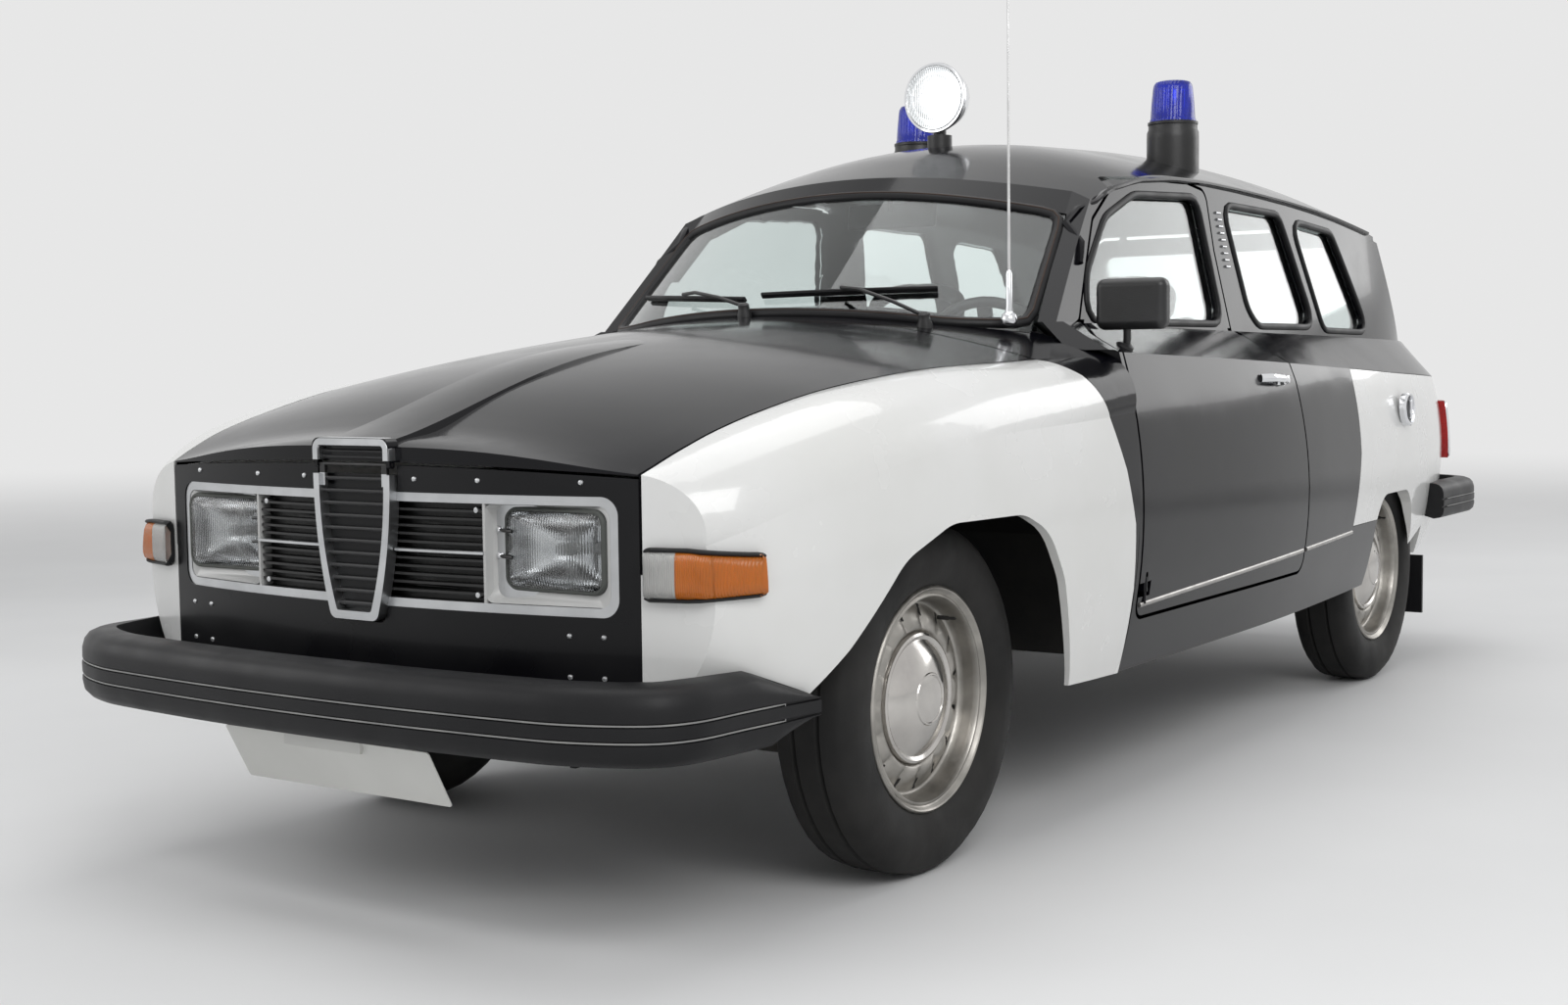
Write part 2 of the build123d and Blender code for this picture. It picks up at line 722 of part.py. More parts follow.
def shield_region(grow, top):
    """Front-view outline of the shield with bowed sides, grown by a margin and pushed along the car."""
    low = shield_low - grow
    bottom = shield_bottom + grow
    waist = shield_middle + grow
    head = shield_top + grow
    with BuildPart() as region:
        with BuildSketch(station(-500)) as outline:
            with BuildLine():
                ThreePointArc((-head, shield_high), (-waist, shield_waist), (-bottom, low))
                Line((-bottom, low), (bottom, low))
                ThreePointArc((bottom, low), (waist, shield_waist), (head, shield_high))
                Polyline((head, shield_high), (head, top), (-head, top), (-head, shield_high))
            make_face()
            fillet(outline.vertices().group_by(Axis.Y)[0], radius=shield_corner + min(grow, 0) * 0.7)
        extrude(amount=400)
    return region.part


shield_back = slat_set - 2 * fit
with BuildPart() as shield_room:
    add(plan_ring(-shield_depth, shield_depth + shield_back + fit, shield_low - 20, tall, 2 * shield_top))
    add(shield_region(fit, shield_high + 30), mode=Mode.INTERSECT)
with BuildPart() as lamp_room:
    for side in (-1, 1):
        across_half = lamp_width / 2 + fit
        up_half = lamp_height / 2 + fit
        add(front_window(rectangle(side * lamp_x - across_half, side * lamp_x + across_half,
                                   lamp_z - up_half, lamp_z + up_half), radius=18))
with BuildPart() as grille:
    add(plan_ring(2, 34, grille_low - 5, grille_high + 5, grille_half + 5))
    add(front_window(rectangle(-grille_half + frame_rim, grille_half - frame_rim, grille_low + frame_rim,
                               grille_high - frame_rim), radius=20), mode=Mode.SUBTRACT)
    add(plan_ring(29, 6, grille_low + 8, grille_high - 8, grille_half - 8))
    for k in range(slat_count):
        z = grille_low + frame_rim + (k + 1) * slat_pitch - slat_height / 2
        add(plan_ring(slat_set, 24, z, z + slat_height, slat_half))
    add(front_window(rectangle(-grille_half + fit, grille_half - fit, grille_low + fit, grille_high - fit),
                     radius=30), mode=Mode.INTERSECT)
    add(shield_room.part, mode=Mode.SUBTRACT)
    add(lamp_room.part, mode=Mode.SUBTRACT)
save(grille.part, "grille")
with BuildPart() as shield:
    add(plan_ring(shield_back - shield_depth, shield_depth, shield_low - 20, tall, 2 * shield_top))
    add(shield_region(0, shield_high + 1), mode=Mode.INTERSECT)
    add(shield_region(-shield_frame, shield_high + 30), mode=Mode.SUBTRACT)
    add(block(-half, half, nose_y, nose_behind, shield_high, tall), mode=Mode.SUBTRACT)
    add(across(-hood_lug_x - hood_lug, hood_lug_x + hood_lug, hood_pin_y, hood_pin_z, hood_pin))
    for side in (-1, 1):
        low, high = sorted((side * (hood_lug_x - 2), side * (hood_lug_x - 2 - rod_post)))
        add(block(low, high, hood_pin_y - hood_pin, hood_pin_y + hood_pin, shield_high - 20, hood_pin_z))
save(shield.part, "grille_shield")
with BuildPart() as nose_cut:
    add(nose_panel.part)
    add(shield_region(shut_gap / 2, tall), mode=Mode.SUBTRACT)
save(nose_cut.part, "nose_panel")

# Headlamps: a lens block in each lamp plate
with BuildPart() as headlamps:
    for side in (-1, 1):
        add(front_window(rectangle(side * lamp_x - lamp_width / 2, side * lamp_x + lamp_width / 2,
                                   lamp_z - lamp_height / 2, lamp_z + lamp_height / 2),
                         y_low=lamp_front, y_high=lamp_front + lamp_depth, radius=18))
save(headlamps.part, "headlamps")

# Indicators wrap round the wings' front corners
indicator_x = 562.0
indicator_end = -575.0
indicator_depth = 22.0
with BuildPart() as indicator:
    add(behind_nose(front_envelope(-indicator_depth), -indicator_depth))
    add(front_outer, mode=Mode.SUBTRACT)
    add(side_prism([(nose_y, 557), (indicator_end, 563), (indicator_end, 640), (nose_y, 648)],
                   indicator_x, half, radius=0), mode=Mode.INTERSECT)
with BuildPart() as indicators:
    add(indicator.part)
    mirror(indicator.part, about=Plane.YZ)
save(indicators.part, "indicators")

# Bumpers: rubber-faced bars with wrapped ends
bumper_front_low = 326.0
bumper_front_high = 454.0
bumper_depth = 70.0


def bumper_bar(y_centre, y_corner, y_end, x_corner, x_end, z_low, z_high, way):
    """Bar that bows across the car and turns back along each side."""
    d = bumper_depth * way
    x_in = x_end - bumper_depth * 0.6
    with BuildPart() as bar:
        with BuildSketch(Plane.XY.offset(z_low)):
            with BuildLine():
                Polyline((x_corner, y_corner), (x_end, y_corner + way * 130), (x_end, y_end), (x_in, y_end),
                         (x_in, y_corner + way * 150), (x_corner - 30, y_corner + d))
                ThreePointArc((x_corner - 30, y_corner + d), (0, y_centre + d),
                              (-x_corner + 30, y_corner + d))
                Polyline((-x_corner + 30, y_corner + d), (-x_in, y_corner + way * 150), (-x_in, y_end),
                         (-x_end, y_end), (-x_end, y_corner + way * 130), (-x_corner, y_corner))
                ThreePointArc((-x_corner, y_corner), (0, y_centre), (x_corner, y_corner))
            make_face()
        extrude(amount=z_high - z_low)
    return bar.part


bumper_front_y = -893.0
bumper_front_end = -465.0
BUMPER_OUTER = [(262, -886), (524, -864), (608, -836), (680, -795), (711, -735), (718, -640), (732, -536),
                (745, bumper_front_end)]
BUMPER_INNER = [(524, -794), (610, -755), (650, -700), (665, -620), (705, -560), (728, bumper_front_end)]
BUMPER_SIDE = [(bumper_front_y - 10, bumper_front_low), (-565, bumper_front_low), (bumper_front_end, 371),
               (bumper_front_end, 398), (-600, bumper_front_high), (bumper_front_y - 10, bumper_front_high)]


def other_side(points):
    """The same points on the car's other side, in reverse order."""
    return [(-x, y) for x, y in reversed(points)]


with BuildPart() as front_bumper:
    with BuildSketch(Plane.XY.offset(bumper_front_low)):
        with BuildLine():
            Spline(*other_side(BUMPER_OUTER), (0, bumper_front_y), *BUMPER_OUTER)
            Polyline(BUMPER_OUTER[-1], *reversed(BUMPER_INNER), (0, bumper_front_y + bumper_depth),
                     *reversed(other_side(BUMPER_INNER)), other_side(BUMPER_OUTER)[0])
        make_face()
    extrude(amount=bumper_front_high - bumper_front_low)
    with BuildSketch(Plane.YZ.offset(-800)):
        with BuildLine():
            Polyline(*BUMPER_SIDE, close=True)
        make_face()
    extrude(amount=1600, mode=Mode.INTERSECT)
    for side in (-1, 1):
        add(block(side * rail_x - 20, side * rail_x + 20, -840, rail_front - fit, 350, 375))
save(front_bumper.part, "front_bumper")
bumper_rear_low = 430.0
bumper_rear_high = 540.0
with BuildPart() as rear_bumper:
    add(bumper_bar(3395, 3350, 2860, 600, 760, bumper_rear_low, bumper_rear_high, -1))
    for side in (-1, 1):
        add(block(side * rail_x - 20, side * rail_x + 20, 3252.6, 3340, 470, 500))
save(rear_bumper.part, "rear_bumper")

# Number plates, blank, each on its bracket
plate_width = 480.0
plate_height = 110.0
with BuildPart() as plate_front:
    with BuildSketch(Plane(origin=(0, -800, 270), x_dir=(1, 0, 0), z_dir=(0, -0.88, -0.47))):
        RectangleRounded(plate_width, plate_height, 6)
    extrude(amount=2)
    add(block(-90, 90, -830, -824.5, 300, bumper_front_low - fit))
save(plate_front.part, "number_plate_front")
plate_z = 640.0
tail_upper = TAIL_LINE[3]
tail_lower = TAIL_LINE[4]
plate_share = (tail_upper[1] - plate_z) / (tail_upper[1] - tail_lower[1])
plate_y = tail_upper[0] + plate_share * (tail_lower[0] - tail_upper[0]) + fit
with BuildPart() as plate_rear:
    with BuildSketch(Plane(origin=(0, plate_y, plate_z), x_dir=(1, 0, 0),
                           z_dir=(0, tail_upper[1] - tail_lower[1], tail_lower[0] - tail_upper[0]))):
        RectangleRounded(plate_width, plate_height, 6)
    extrude(amount=3)
save(plate_rear.part, "number_plate_rear")

# Floor and toe board as one bent sheet
floor_half = 690.0
floor_low = 300.0
floor_arch_gap = 45.0
floor_arch_x = 490.0
with BuildPart() as floor_sheet:
    with BuildSketch(Plane.YZ.offset(-floor_half)):
        with BuildLine():
            Polyline((620, 560), (640, 900), (664, 900), (650, 560), (720, 330), (2090, 330), (2150, 520),
                     (3190, 545), (3190, 515), (2170, 495), (2110, floor_low), (700, floor_low), close=True)
        make_face()
    extrude(amount=2 * floor_half)
    for x_low in (-floor_half - 10, floor_arch_x):
        add(across(x_low, x_low + floor_half + 10 - floor_arch_x, wheelbase, hub_height,
                   tyre_radius + floor_arch_gap), mode=Mode.SUBTRACT)
    add(scuttle.part, mode=Mode.SUBTRACT)
    for frame_side in (side_frame.part, rear_wing.part):
        add(frame_side, mode=Mode.SUBTRACT)
        add(mirrored(frame_side), mode=Mode.SUBTRACT)
with BuildPart() as floor_pan:
    add(floor_sheet.part.solids().sort_by(SortBy.VOLUME)[-1])
save(floor_pan.part, "floor_pan")

# Chassis rails: a front pair joined by a cross member, and a rear pair under the floor
rear_rail_low = 440.0
with BuildPart() as front_rails:
    for side in (-1, 1):
        add(block(side * rail_x - rail_width / 2, side * rail_x + rail_width / 2, rail_front, 700,
                  rail_low, rail_high))
    add(block(-rail_x, rail_x, rail_front, rail_front + 30, 330, 370))
    add(floor_pan.part, mode=Mode.SUBTRACT)
with BuildPart() as rear_rails:
    for side in (-1, 1):
        add(block(side * rail_x - rail_width / 2, side * rail_x + rail_width / 2, 2140, 3190,
                  rear_rail_low, 515))
        add(block(side * rail_x - rail_width / 2, side * rail_x + rail_width / 2, 3180, 3240,
                  rear_rail_low, 500))
    add(floor_pan.part, mode=Mode.SUBTRACT)
with BuildPart() as chassis_rails:
    add(front_rails.part.solids().sort_by(SortBy.VOLUME)[-1])
    for solid in rear_rails.part.solids().sort_by(SortBy.VOLUME)[-2:]:
        add(solid)
save(chassis_rails.part, "chassis_rails")

# Jacking sockets under the sills and a towing eye under the left front rail
socket_x = 585.0
socket_width = 50.0
socket_depth = 40.0
socket_bore = 12.0
socket_places = (860.0, 1960.0)
with BuildPart() as jack_sockets:
    for side in (-1, 1):
        for y in socket_places:
            add(block(side * socket_x - socket_width / 2, side * socket_x + socket_width / 2,
                      y - socket_width / 2, y + socket_width / 2, floor_low - socket_depth, floor_low))
            add(upright(side * socket_x, y, floor_low - socket_depth - 1, floor_low + 1, socket_bore),
                mode=Mode.SUBTRACT)
save(jack_sockets.part, "jack_sockets")
eye_thick = 12.0
eye_bore = 15.0
eye_y = -520.0
eye_width = 60.0
eye_drop = 50.0
with BuildPart() as tow_eye:
    add(block(rail_x - eye_thick / 2, rail_x + eye_thick / 2, eye_y - eye_width / 2, eye_y + eye_width / 2,
              rail_low - eye_drop, rail_low))
    add(across(rail_x - eye_thick, rail_x + eye_thick, eye_y, rail_low - eye_drop / 2, eye_bore),
        mode=Mode.SUBTRACT)
save(tow_eye.part, "tow_eye")

# Engine and gearbox as one block on the rails
engine_half = rail_x - rail_width / 2 - fit
save(block(-engine_half, engine_half, -560, 60, rail_low + 20, 720), "engine_block")

# Dashboard with the column's cowl, seats and bench
column_tilt = 24.0
wheel_radius = 200.0
column_x = 300.0
column_top = Plane(origin=(column_x, 960, 880), x_dir=(1, 0, 0),
                   z_dir=(0, cos(column_tilt * pi / 180), sin(column_tilt * pi / 180)))
with BuildPart() as dashboard:
    with BuildSketch(Plane.YZ.offset(-560)) as section:
        with BuildLine():
            Polyline((664.3, 700), (664.3, 930), (800, 955), (900, 900), (900, 780), (820, 700), close=True)
        make_face()
        fillet(section.vertices(), radius=12)
    extrude(amount=1120)
    with BuildSketch(column_top.offset(-170)):
        Circle(30)
    extrude(amount=130 - fit)
save(dashboard.part, "dashboard")


def seat(x_mid, width, y_front, y_back, z_floor, z_cushion, z_top, lean):
    """Cushion and backrest of a seat on its base, as one plain soft solid."""
    with BuildPart() as piece:
        with BuildSketch(Plane.YZ.offset(x_mid - width / 2)) as section:
            with BuildLine():
                Polyline((y_front, z_floor), (y_front - 20, z_cushion), (y_back - 60, z_cushion - 20),
                         (y_back + lean - 20, z_top), (y_back + lean + 60, z_top),
                         (y_back + 60, z_cushion - 60), (y_back + 20, z_floor), close=True)
            make_face()
            fillet(section.vertices().group_by(Axis.Z)[-1], radius=25)
        extrude(amount=width)
    return piece.part


with BuildPart() as front_seats:
    for side in (-1, 1):
        add(seat(side * 300, 440, 950, 1440, 330.3, 560, 1120, 160))
save(front_seats.part, "front_seats")
with BuildPart() as bench:
    add(seat(0, 1040, 1740, 2110, 330.3, 590, 980, 90))
    add(floor_pan.part, mode=Mode.SUBTRACT)
save(bench.part.solids().sort_by(SortBy.VOLUME)[-1], "rear_bench")

# Steering wheel on its column
with BuildPart() as steering_wheel:
    with BuildSketch(column_top.offset(-14)):
        Circle(wheel_radius)
        Circle(wheel_radius - 26, mode=Mode.SUBTRACT)
    extrude(amount=28)
    with BuildSketch(column_top.offset(-8)):
        Rectangle(2 * wheel_radius - 30, 40)
        Circle(60)
    extrude(amount=12)
    with BuildSketch(column_top.offset(-40)):
        Circle(22)
    extrude(amount=40)
save(steering_wheel.part, "steering_wheel")

# Wheels: rims and tyres about the hub line
bore_radius = 30.0


def rim_part(x, y, way):
    """Steel rim with a dished face."""
    w = rim_width / 2
    with BuildPart() as rim:
        with BuildSketch(Plane(origin=(x, y, hub_height), x_dir=(way, 0, 0), z_dir=(0, 1, 0))):
            with BuildLine():
                Polyline((-w, rim_radius), (-w + 10, rim_radius), (-w + 12, rim_radius - 12),
                         (w - 12, rim_radius - 12), (w - 10, rim_radius), (w, rim_radius),
                         (w, rim_radius - 22), (w - 14, rim_radius - 30), (w - 30, 150), (w - 16, 90),
                         (w - 20, bore_radius), (w - 30, bore_radius), (w - 26, 90), (w - 40, 146),
                         (w - 40, rim_radius - 34), (-w + 20, rim_radius - 34), (-w, rim_radius - 22),
                         close=True)
            make_face()
        revolve(axis=Axis((x, y, hub_height), (1, 0, 0)))
    return rim.part


def tyre_part(x, y):
    """Road tyre as one plain ring on its rim."""
    w = rim_width / 2 - 13
    t = tyre_width / 2
    seat_r = rim_radius - 12 + fit
    with BuildPart() as tyre:
        with BuildSketch(Plane(origin=(x, y, hub_height), x_dir=(1, 0, 0), z_dir=(0, 1, 0))):
            with BuildLine():
                Polyline((w, seat_r), (-w, seat_r), (-w, rim_radius + 1), (-t + 11, rim_radius + 12))
                ThreePointArc((-t + 11, rim_radius + 12), (-t, 258), (-t + 15, tyre_radius - 8))
                Polyline((-t + 15, tyre_radius - 8), (-t + 30, tyre_radius), (t - 30, tyre_radius),
                         (t - 15, tyre_radius - 8))
                ThreePointArc((t - 15, tyre_radius - 8), (t, 258), (t - 11, rim_radius + 12))
                Polyline((t - 11, rim_radius + 12), (w, rim_radius + 1), (w, seat_r))
            make_face()
        revolve(axis=Axis((x, y, hub_height), (1, 0, 0)))
    return tyre.part


wheel_x = track / 2
kingpin_x = 540.0
kingpin_low = 225.0
kingpin_high = 410.0
for name, y in (("front", 0.0), ("rear", wheelbase)):
    for side, way in (("left", 1), ("right", -1)):
        save(rim_part(way * wheel_x, y, way), f"rim_{name}_{side}")
        save(tyre_part(way * wheel_x, y), f"tyre_{name}_{side}")
for side, way in (("left", 1), ("right", -1)):
    with BuildPart() as knuckle:
        add(upright(way * kingpin_x, 0, kingpin_low, kingpin_high, 24))
        ends = sorted((way * kingpin_x, way * (wheel_x + 50)))
        add(across(ends[0], ends[1], 0, hub_height, bore_radius - running))
    save(knuckle.part, f"knuckle_{side}")

# Front suspension: cross beam and arms that hold the kingpins top and bottom
arm_width = 80.0
with BuildPart() as front_suspension:
    add(block(-rail_x, rail_x, -40, 40, 240, rail_low - fit))
    for way in (1, -1):
        low, high = sorted((way * (rail_x - 60), way * (kingpin_x + 28)))
        add(block(low, high, -arm_width / 2, arm_width / 2, kingpin_low - 30, kingpin_low - fit))
        low, high = sorted((way * (rail_x - 40), way * (rail_x - 10)))
        add(block(low, high, -arm_width / 2, arm_width / 2, kingpin_low - 30, rail_low - fit))
        low, high = sorted((way * (rail_x + rail_width / 2 + fit), way * (kingpin_x + 28)))
        add(block(low, high, -arm_width / 2, arm_width / 2, kingpin_high + fit, kingpin_high + 24))
        low, high = sorted((way * (rail_x + rail_width / 2 + fit), way * (rail_x + rail_width / 2 + 12)))
        add(block(low, high, -arm_width / 2, arm_width / 2, 320, kingpin_high + 24))
save(front_suspension.part, "front_suspension")

# Rear axle beam with springs up to the rails
with BuildPart() as rear_axle:
    add(across(-wheel_x - 50, wheel_x + 50, wheelbase, hub_height, bore_radius - running))
    for way in (1, -1):
        add(upright(way * rail_x, wheelbase, hub_height, 440 - fit, 48))
save(rear_axle.part, "rear_axle")

# Glass of the doors and of the side windows
with BuildPart() as glass_band:
    add(roof_glass)
    add(roof_glass_back, mode=Mode.SUBTRACT)
with BuildPart() as door_glass:
    add(glass_band.part)
    add(side_prism(DOOR_WINDOW, 300, half, grow=-fit), mode=Mode.INTERSECT)
save(door_glass.part, "door_glass_left")
save(mirrored(door_glass.part), "door_glass_right")
with BuildPart() as pane:
    add(glass_band.part)
    add(side_prism(MID_WINDOW, 300, half, grow=-fit), mode=Mode.INTERSECT)
with BuildPart() as pane_rear:
    add(glass_band.part)
    add(side_prism(REAR_WINDOW, 300, half, grow=-fit), mode=Mode.INTERSECT)
with BuildPart() as side_windows:
    add(pane.part)
    add(pane_rear.part)
    mirror(pane.part, about=Plane.YZ)
    mirror(pane_rear.part, about=Plane.YZ)
save(side_windows.part, "side_windows")

# Tail: slab behind the tail line, cut into tailgate, its glass and the panel below
tail_slab = side_prism(TAIL_LINE + [(y - tail_wall, z) for y, z in reversed(TAIL_LINE)], -half, half,
                       radius=0)
with BuildPart() as tail_opening:
    add(side_envelope(door_wall + gate_gap))
    add(roof_envelope(frame_wall + gate_gap, roof_wall + gate_gap))
tailgate_low = 530.0
tailgate_high = 1300.0
with BuildPart() as tailgate:
    add(tail_slab)
    add(tail_opening.part, mode=Mode.INTERSECT)
    add(block(-half, half, 2500, 3500, tailgate_low, tailgate_high), mode=Mode.INTERSECT)
    add(front_window([(-415, 985), (415, 985), (385, 1250), (-385, 1250)], 2500, 3500, radius=40),
        mode=Mode.SUBTRACT)
with BuildPart() as tailgate_hung:
    add(tailgate.part)
    for side in (-1, 1):
        low = side * gate_lug_x - gate_lug / 2
        high = side * gate_lug_x + gate_lug / 2
        add(across(low, high, gate_pin_y, gate_pin_z, gate_barrel))
        add(block(low, high, gate_pin_y - gate_barrel, gate_pin_y + gate_barrel,
                  tailgate_high - 10, gate_pin_z))
        add(across(low - 1, high + 1, gate_pin_y, gate_pin_z, gate_pin + running), mode=Mode.SUBTRACT)
save(tailgate_hung.part, "tailgate")
glass_slab = side_prism([(y - 12, z) for y, z in TAIL_LINE] + [(y - 17, z) for y, z in reversed(TAIL_LINE)],
                        -half, half, radius=0)
with BuildPart() as tailgate_glass:
    add(glass_slab)
    add(front_window([(-415 + fit, 985 + fit), (415 - fit, 985 + fit), (385 - fit, 1250 - fit),
                      (-385 + fit, 1250 - fit)], 2500, 3500, radius=40), mode=Mode.INTERSECT)
save(tailgate_glass.part, "tailgate_glass")
with BuildPart() as rear_panel:
    add(tail_slab)
    add(side_envelope(door_wall + fit), mode=Mode.INTERSECT)
    add(block(-half, half, 2500, 3500, 440, tailgate_low - shut_gap), mode=Mode.INTERSECT)
    add(floor_pan.part, mode=Mode.SUBTRACT)
    add(chassis_rails.part, mode=Mode.SUBTRACT)
save(rear_panel.part, "rear_panel")

# Tail lamps stand on the side frames beside the tailgate
with BuildPart() as lamp:
    add(side_envelope(-18))
    add(side_outer, mode=Mode.SUBTRACT)
    add(block(560, half, 3120, 3330, 600, 775), mode=Mode.INTERSECT)
with BuildPart() as tail_lamps:
    add(lamp.part)
    mirror(lamp.part, about=Plane.YZ)
save(tail_lamps.part, "tail_lamps")

# Roof fittings
with BuildPart() as beacon:
    add(upright(beacon_x, beacon_y, 1380, 1625, 66))
    add(roof_outer, mode=Mode.SUBTRACT)
with BuildPart() as beacons:
    add(beacon.part)
    mirror(beacon.part, about=Plane.YZ)
save(beacons.part, "beacons")
lamp_centre = (0.0, 1215.0, 1560.0)
with BuildPart() as searchlight_base:
    add(upright(0, lamp_centre[1], 1400, 1470, 30))
    add(roof_outer, mode=Mode.SUBTRACT)
save(searchlight_base.part, "searchlight_base")
with BuildPart() as searchlight:
    add(upright(0, lamp_centre[1], 1470 + fit, 1500, 14))
    with BuildSketch(Plane(origin=(0, lamp_centre[1] - 30, lamp_centre[2]), x_dir=(1, 0, 0),
                           z_dir=(0, 1, 0))):
        Circle(84)
    extrude(amount=95, taper=18)
save(searchlight.part, "searchlight")
antenna_x = 537.0
antenna_y = 560.0
with BuildPart() as antenna:
    add(upright(antenna_x, antenna_y, 900, 1150, 9))
    add(upright(antenna_x, antenna_y, 1150, 1750, 2.5))
    add(front_outer, mode=Mode.SUBTRACT)
save(antenna.part.solids().sort_by(Axis.Z)[-1], "antenna")

# Door mirror and handles
with BuildPart() as door_mirror:
    with BuildSketch(Plane.XZ.offset(-690)):
        with Locations((741, 1033)):
            RectangleRounded(155, 105, 20)
    extrude(amount=-45)
    add(block(680, 715, 705, 730, 940, 1000))
    add(side_outer, mode=Mode.SUBTRACT)
save(door_mirror.part, "door_mirror")
with BuildPart() as handle:
    add(side_envelope(-28))
    add(side_outer, mode=Mode.SUBTRACT)
    add(side_prism([(1400, 858), (1560, 850), (1560, 874), (1400, 882)], 500, half, radius=0),
        mode=Mode.INTERSECT)
save(handle.part, "door_handle_left")
save(mirrored(handle.part), "door_handle_right")

# Mud flaps behind the rear wheels, filler cap, exhaust
flap_top = 508.0
with BuildPart() as flap:
    add(block(545, 700, 2850, 2862, 150, 322))
    add(block(545, 592, 2850, 2862, 322, flap_top))
with BuildPart() as mud_flaps:
    add(flap.part)
    mirror(flap.part, about=Plane.YZ)
save(mud_flaps.part, "mud_flaps")
with BuildPart() as filler_cap:
    add(across(690, 752, 2560, 765, 50))
    add(side_outer, mode=Mode.SUBTRACT)
save(filler_cap.part.solids().sort_by(Axis.X)[-1], "filler_cap")
with BuildPart() as exhaust:
    with BuildSketch(Plane.XZ.offset(-150)):
        with Locations((-200, 260)):
            Circle(24)
    extrude(amount=-3080)
    add(block(-280, -120, 1200, 1700, 215, 299.7))
save(exhaust.part, "exhaust")
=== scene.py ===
"""Looks of the two-door patrol car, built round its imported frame.

Metres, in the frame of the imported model: X to the car's left, Y to its rear, Z up.
"""
import json
from math import cos, exp, pi, radians, sin, sqrt

import bpy
from mathutils import Matrix, Vector
from mathutils.bvhtree import BVHTree


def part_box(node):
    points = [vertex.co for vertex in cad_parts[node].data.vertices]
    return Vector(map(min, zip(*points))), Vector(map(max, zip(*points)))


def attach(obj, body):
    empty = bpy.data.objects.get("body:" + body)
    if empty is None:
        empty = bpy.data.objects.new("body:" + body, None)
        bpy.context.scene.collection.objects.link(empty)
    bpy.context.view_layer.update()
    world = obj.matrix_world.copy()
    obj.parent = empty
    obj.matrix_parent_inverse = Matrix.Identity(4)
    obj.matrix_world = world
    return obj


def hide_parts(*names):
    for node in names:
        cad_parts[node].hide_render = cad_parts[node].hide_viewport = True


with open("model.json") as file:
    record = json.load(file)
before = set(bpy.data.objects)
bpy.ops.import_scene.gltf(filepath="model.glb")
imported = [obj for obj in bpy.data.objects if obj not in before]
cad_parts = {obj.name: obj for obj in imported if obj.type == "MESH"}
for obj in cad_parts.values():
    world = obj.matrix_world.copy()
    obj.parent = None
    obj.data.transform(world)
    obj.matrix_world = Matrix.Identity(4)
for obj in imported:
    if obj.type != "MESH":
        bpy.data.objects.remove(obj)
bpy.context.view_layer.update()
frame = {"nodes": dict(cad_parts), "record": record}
nodes = frame["nodes"]

FORWARD = (0, -1, 0)
REARWARD = (0, 1, 0)
UPWARD = (0, 0, 1)
SIDES = {-1: "right", 1: "left"}

# Photograph and camera
photo_width = 1600
camera_place = Vector((2.4452, -3.0378, 0.9315))
camera_yaw = 0.6020
camera_pitch = -0.0719
camera_roll = -0.0125
camera_focal_px = 2013.3
camera_rise_px = -2.58
sensor = 36.0


def placed(name, data):
    """New object in the scene."""
    thing = bpy.data.objects.new(name, data)
    bpy.context.scene.collection.objects.link(thing)
    return thing


def make_camera():
    """Camera at the photograph's place, turned and framed as in it."""
    data = bpy.data.cameras.new("camera")
    data.sensor_width = sensor
    data.lens = camera_focal_px * sensor / photo_width
    data.shift_y = camera_rise_px / photo_width
    data.clip_start = 0.05
    data.clip_end = 200.0
    camera = placed("camera", data)
    level = cos(camera_pitch)
    look = Vector((-sin(camera_yaw) * level, cos(camera_yaw) * level, sin(camera_pitch)))
    right = look.cross(Vector(UPWARD)).normalized()
    up = right.cross(look)
    right_rolled = cos(camera_roll) * right + sin(camera_roll) * up
    up_rolled = -sin(camera_roll) * right + cos(camera_roll) * up
    turn = Matrix((right_rolled, up_rolled, -look)).transposed().to_4x4()
    camera.matrix_world = Matrix.Translation(camera_place) @ turn
    bpy.context.scene.camera = camera


# Materials


def add_node(tree, kind, inputs=(), **settings):
    """Shader node with its settings; its inputs are linked to sockets or set to plain values."""
    node = tree.nodes.new(f"ShaderNode{kind}")
    for name, value in settings.items():
        setattr(node, name, value)
    for key, value in dict(inputs).items():
        if isinstance(value, bpy.types.NodeSocket):
            tree.links.new(value, node.inputs[key])
        else:
            node.inputs[key].default_value = value
    return node


def math_node(tree, operation, *values):
    """Result of a math node fed by sockets or by plain numbers."""
    return add_node(tree, "Math", enumerate(values), operation=operation).outputs["Value"]


def mix_into(output, tree, share, first, second):
    """Mixes two shaders by a share and shows them through the tree's output."""
    mix = add_node(tree, "MixShader", {0: share, 1: first, 2: second})
    tree.links.new(mix.outputs["Shader"], tree.nodes[output].inputs["Surface"])


def own_place(tree):
    """The object's own coordinates."""
    return tree.nodes.new("ShaderNodeTexCoord").outputs["Object"]


def noise(tree, scale, detail=4.0):
    """Noise over the object's own coordinates."""
    texture = add_node(tree, "TexNoise", {"Vector": own_place(tree), "Scale": scale, "Detail": detail})
    return texture.outputs["Fac"]


def vary_colour(tree, shader, low, high, scale):
    """Base colour that wanders between two close colours."""
    ramp = add_node(tree, "ValToRGB", {"Fac": noise(tree, scale)})
    for element, place, colour in zip(ramp.color_ramp.elements, (0.35, 0.7), (low, high)):
        element.position = place
        element.color = (*colour, 1)
    tree.links.new(ramp.outputs["Color"], shader.inputs["Base Color"])


def vary_roughness(tree, shader, low, high, scale):
    """Roughness that wanders between two values."""
    spread = add_node(tree, "MapRange", {"Value": noise(tree, scale), "From Min": 0.3, "From Max": 0.7,
                                         "To Min": low, "To Max": high})
    tree.links.new(spread.outputs["Result"], shader.inputs["Roughness"])


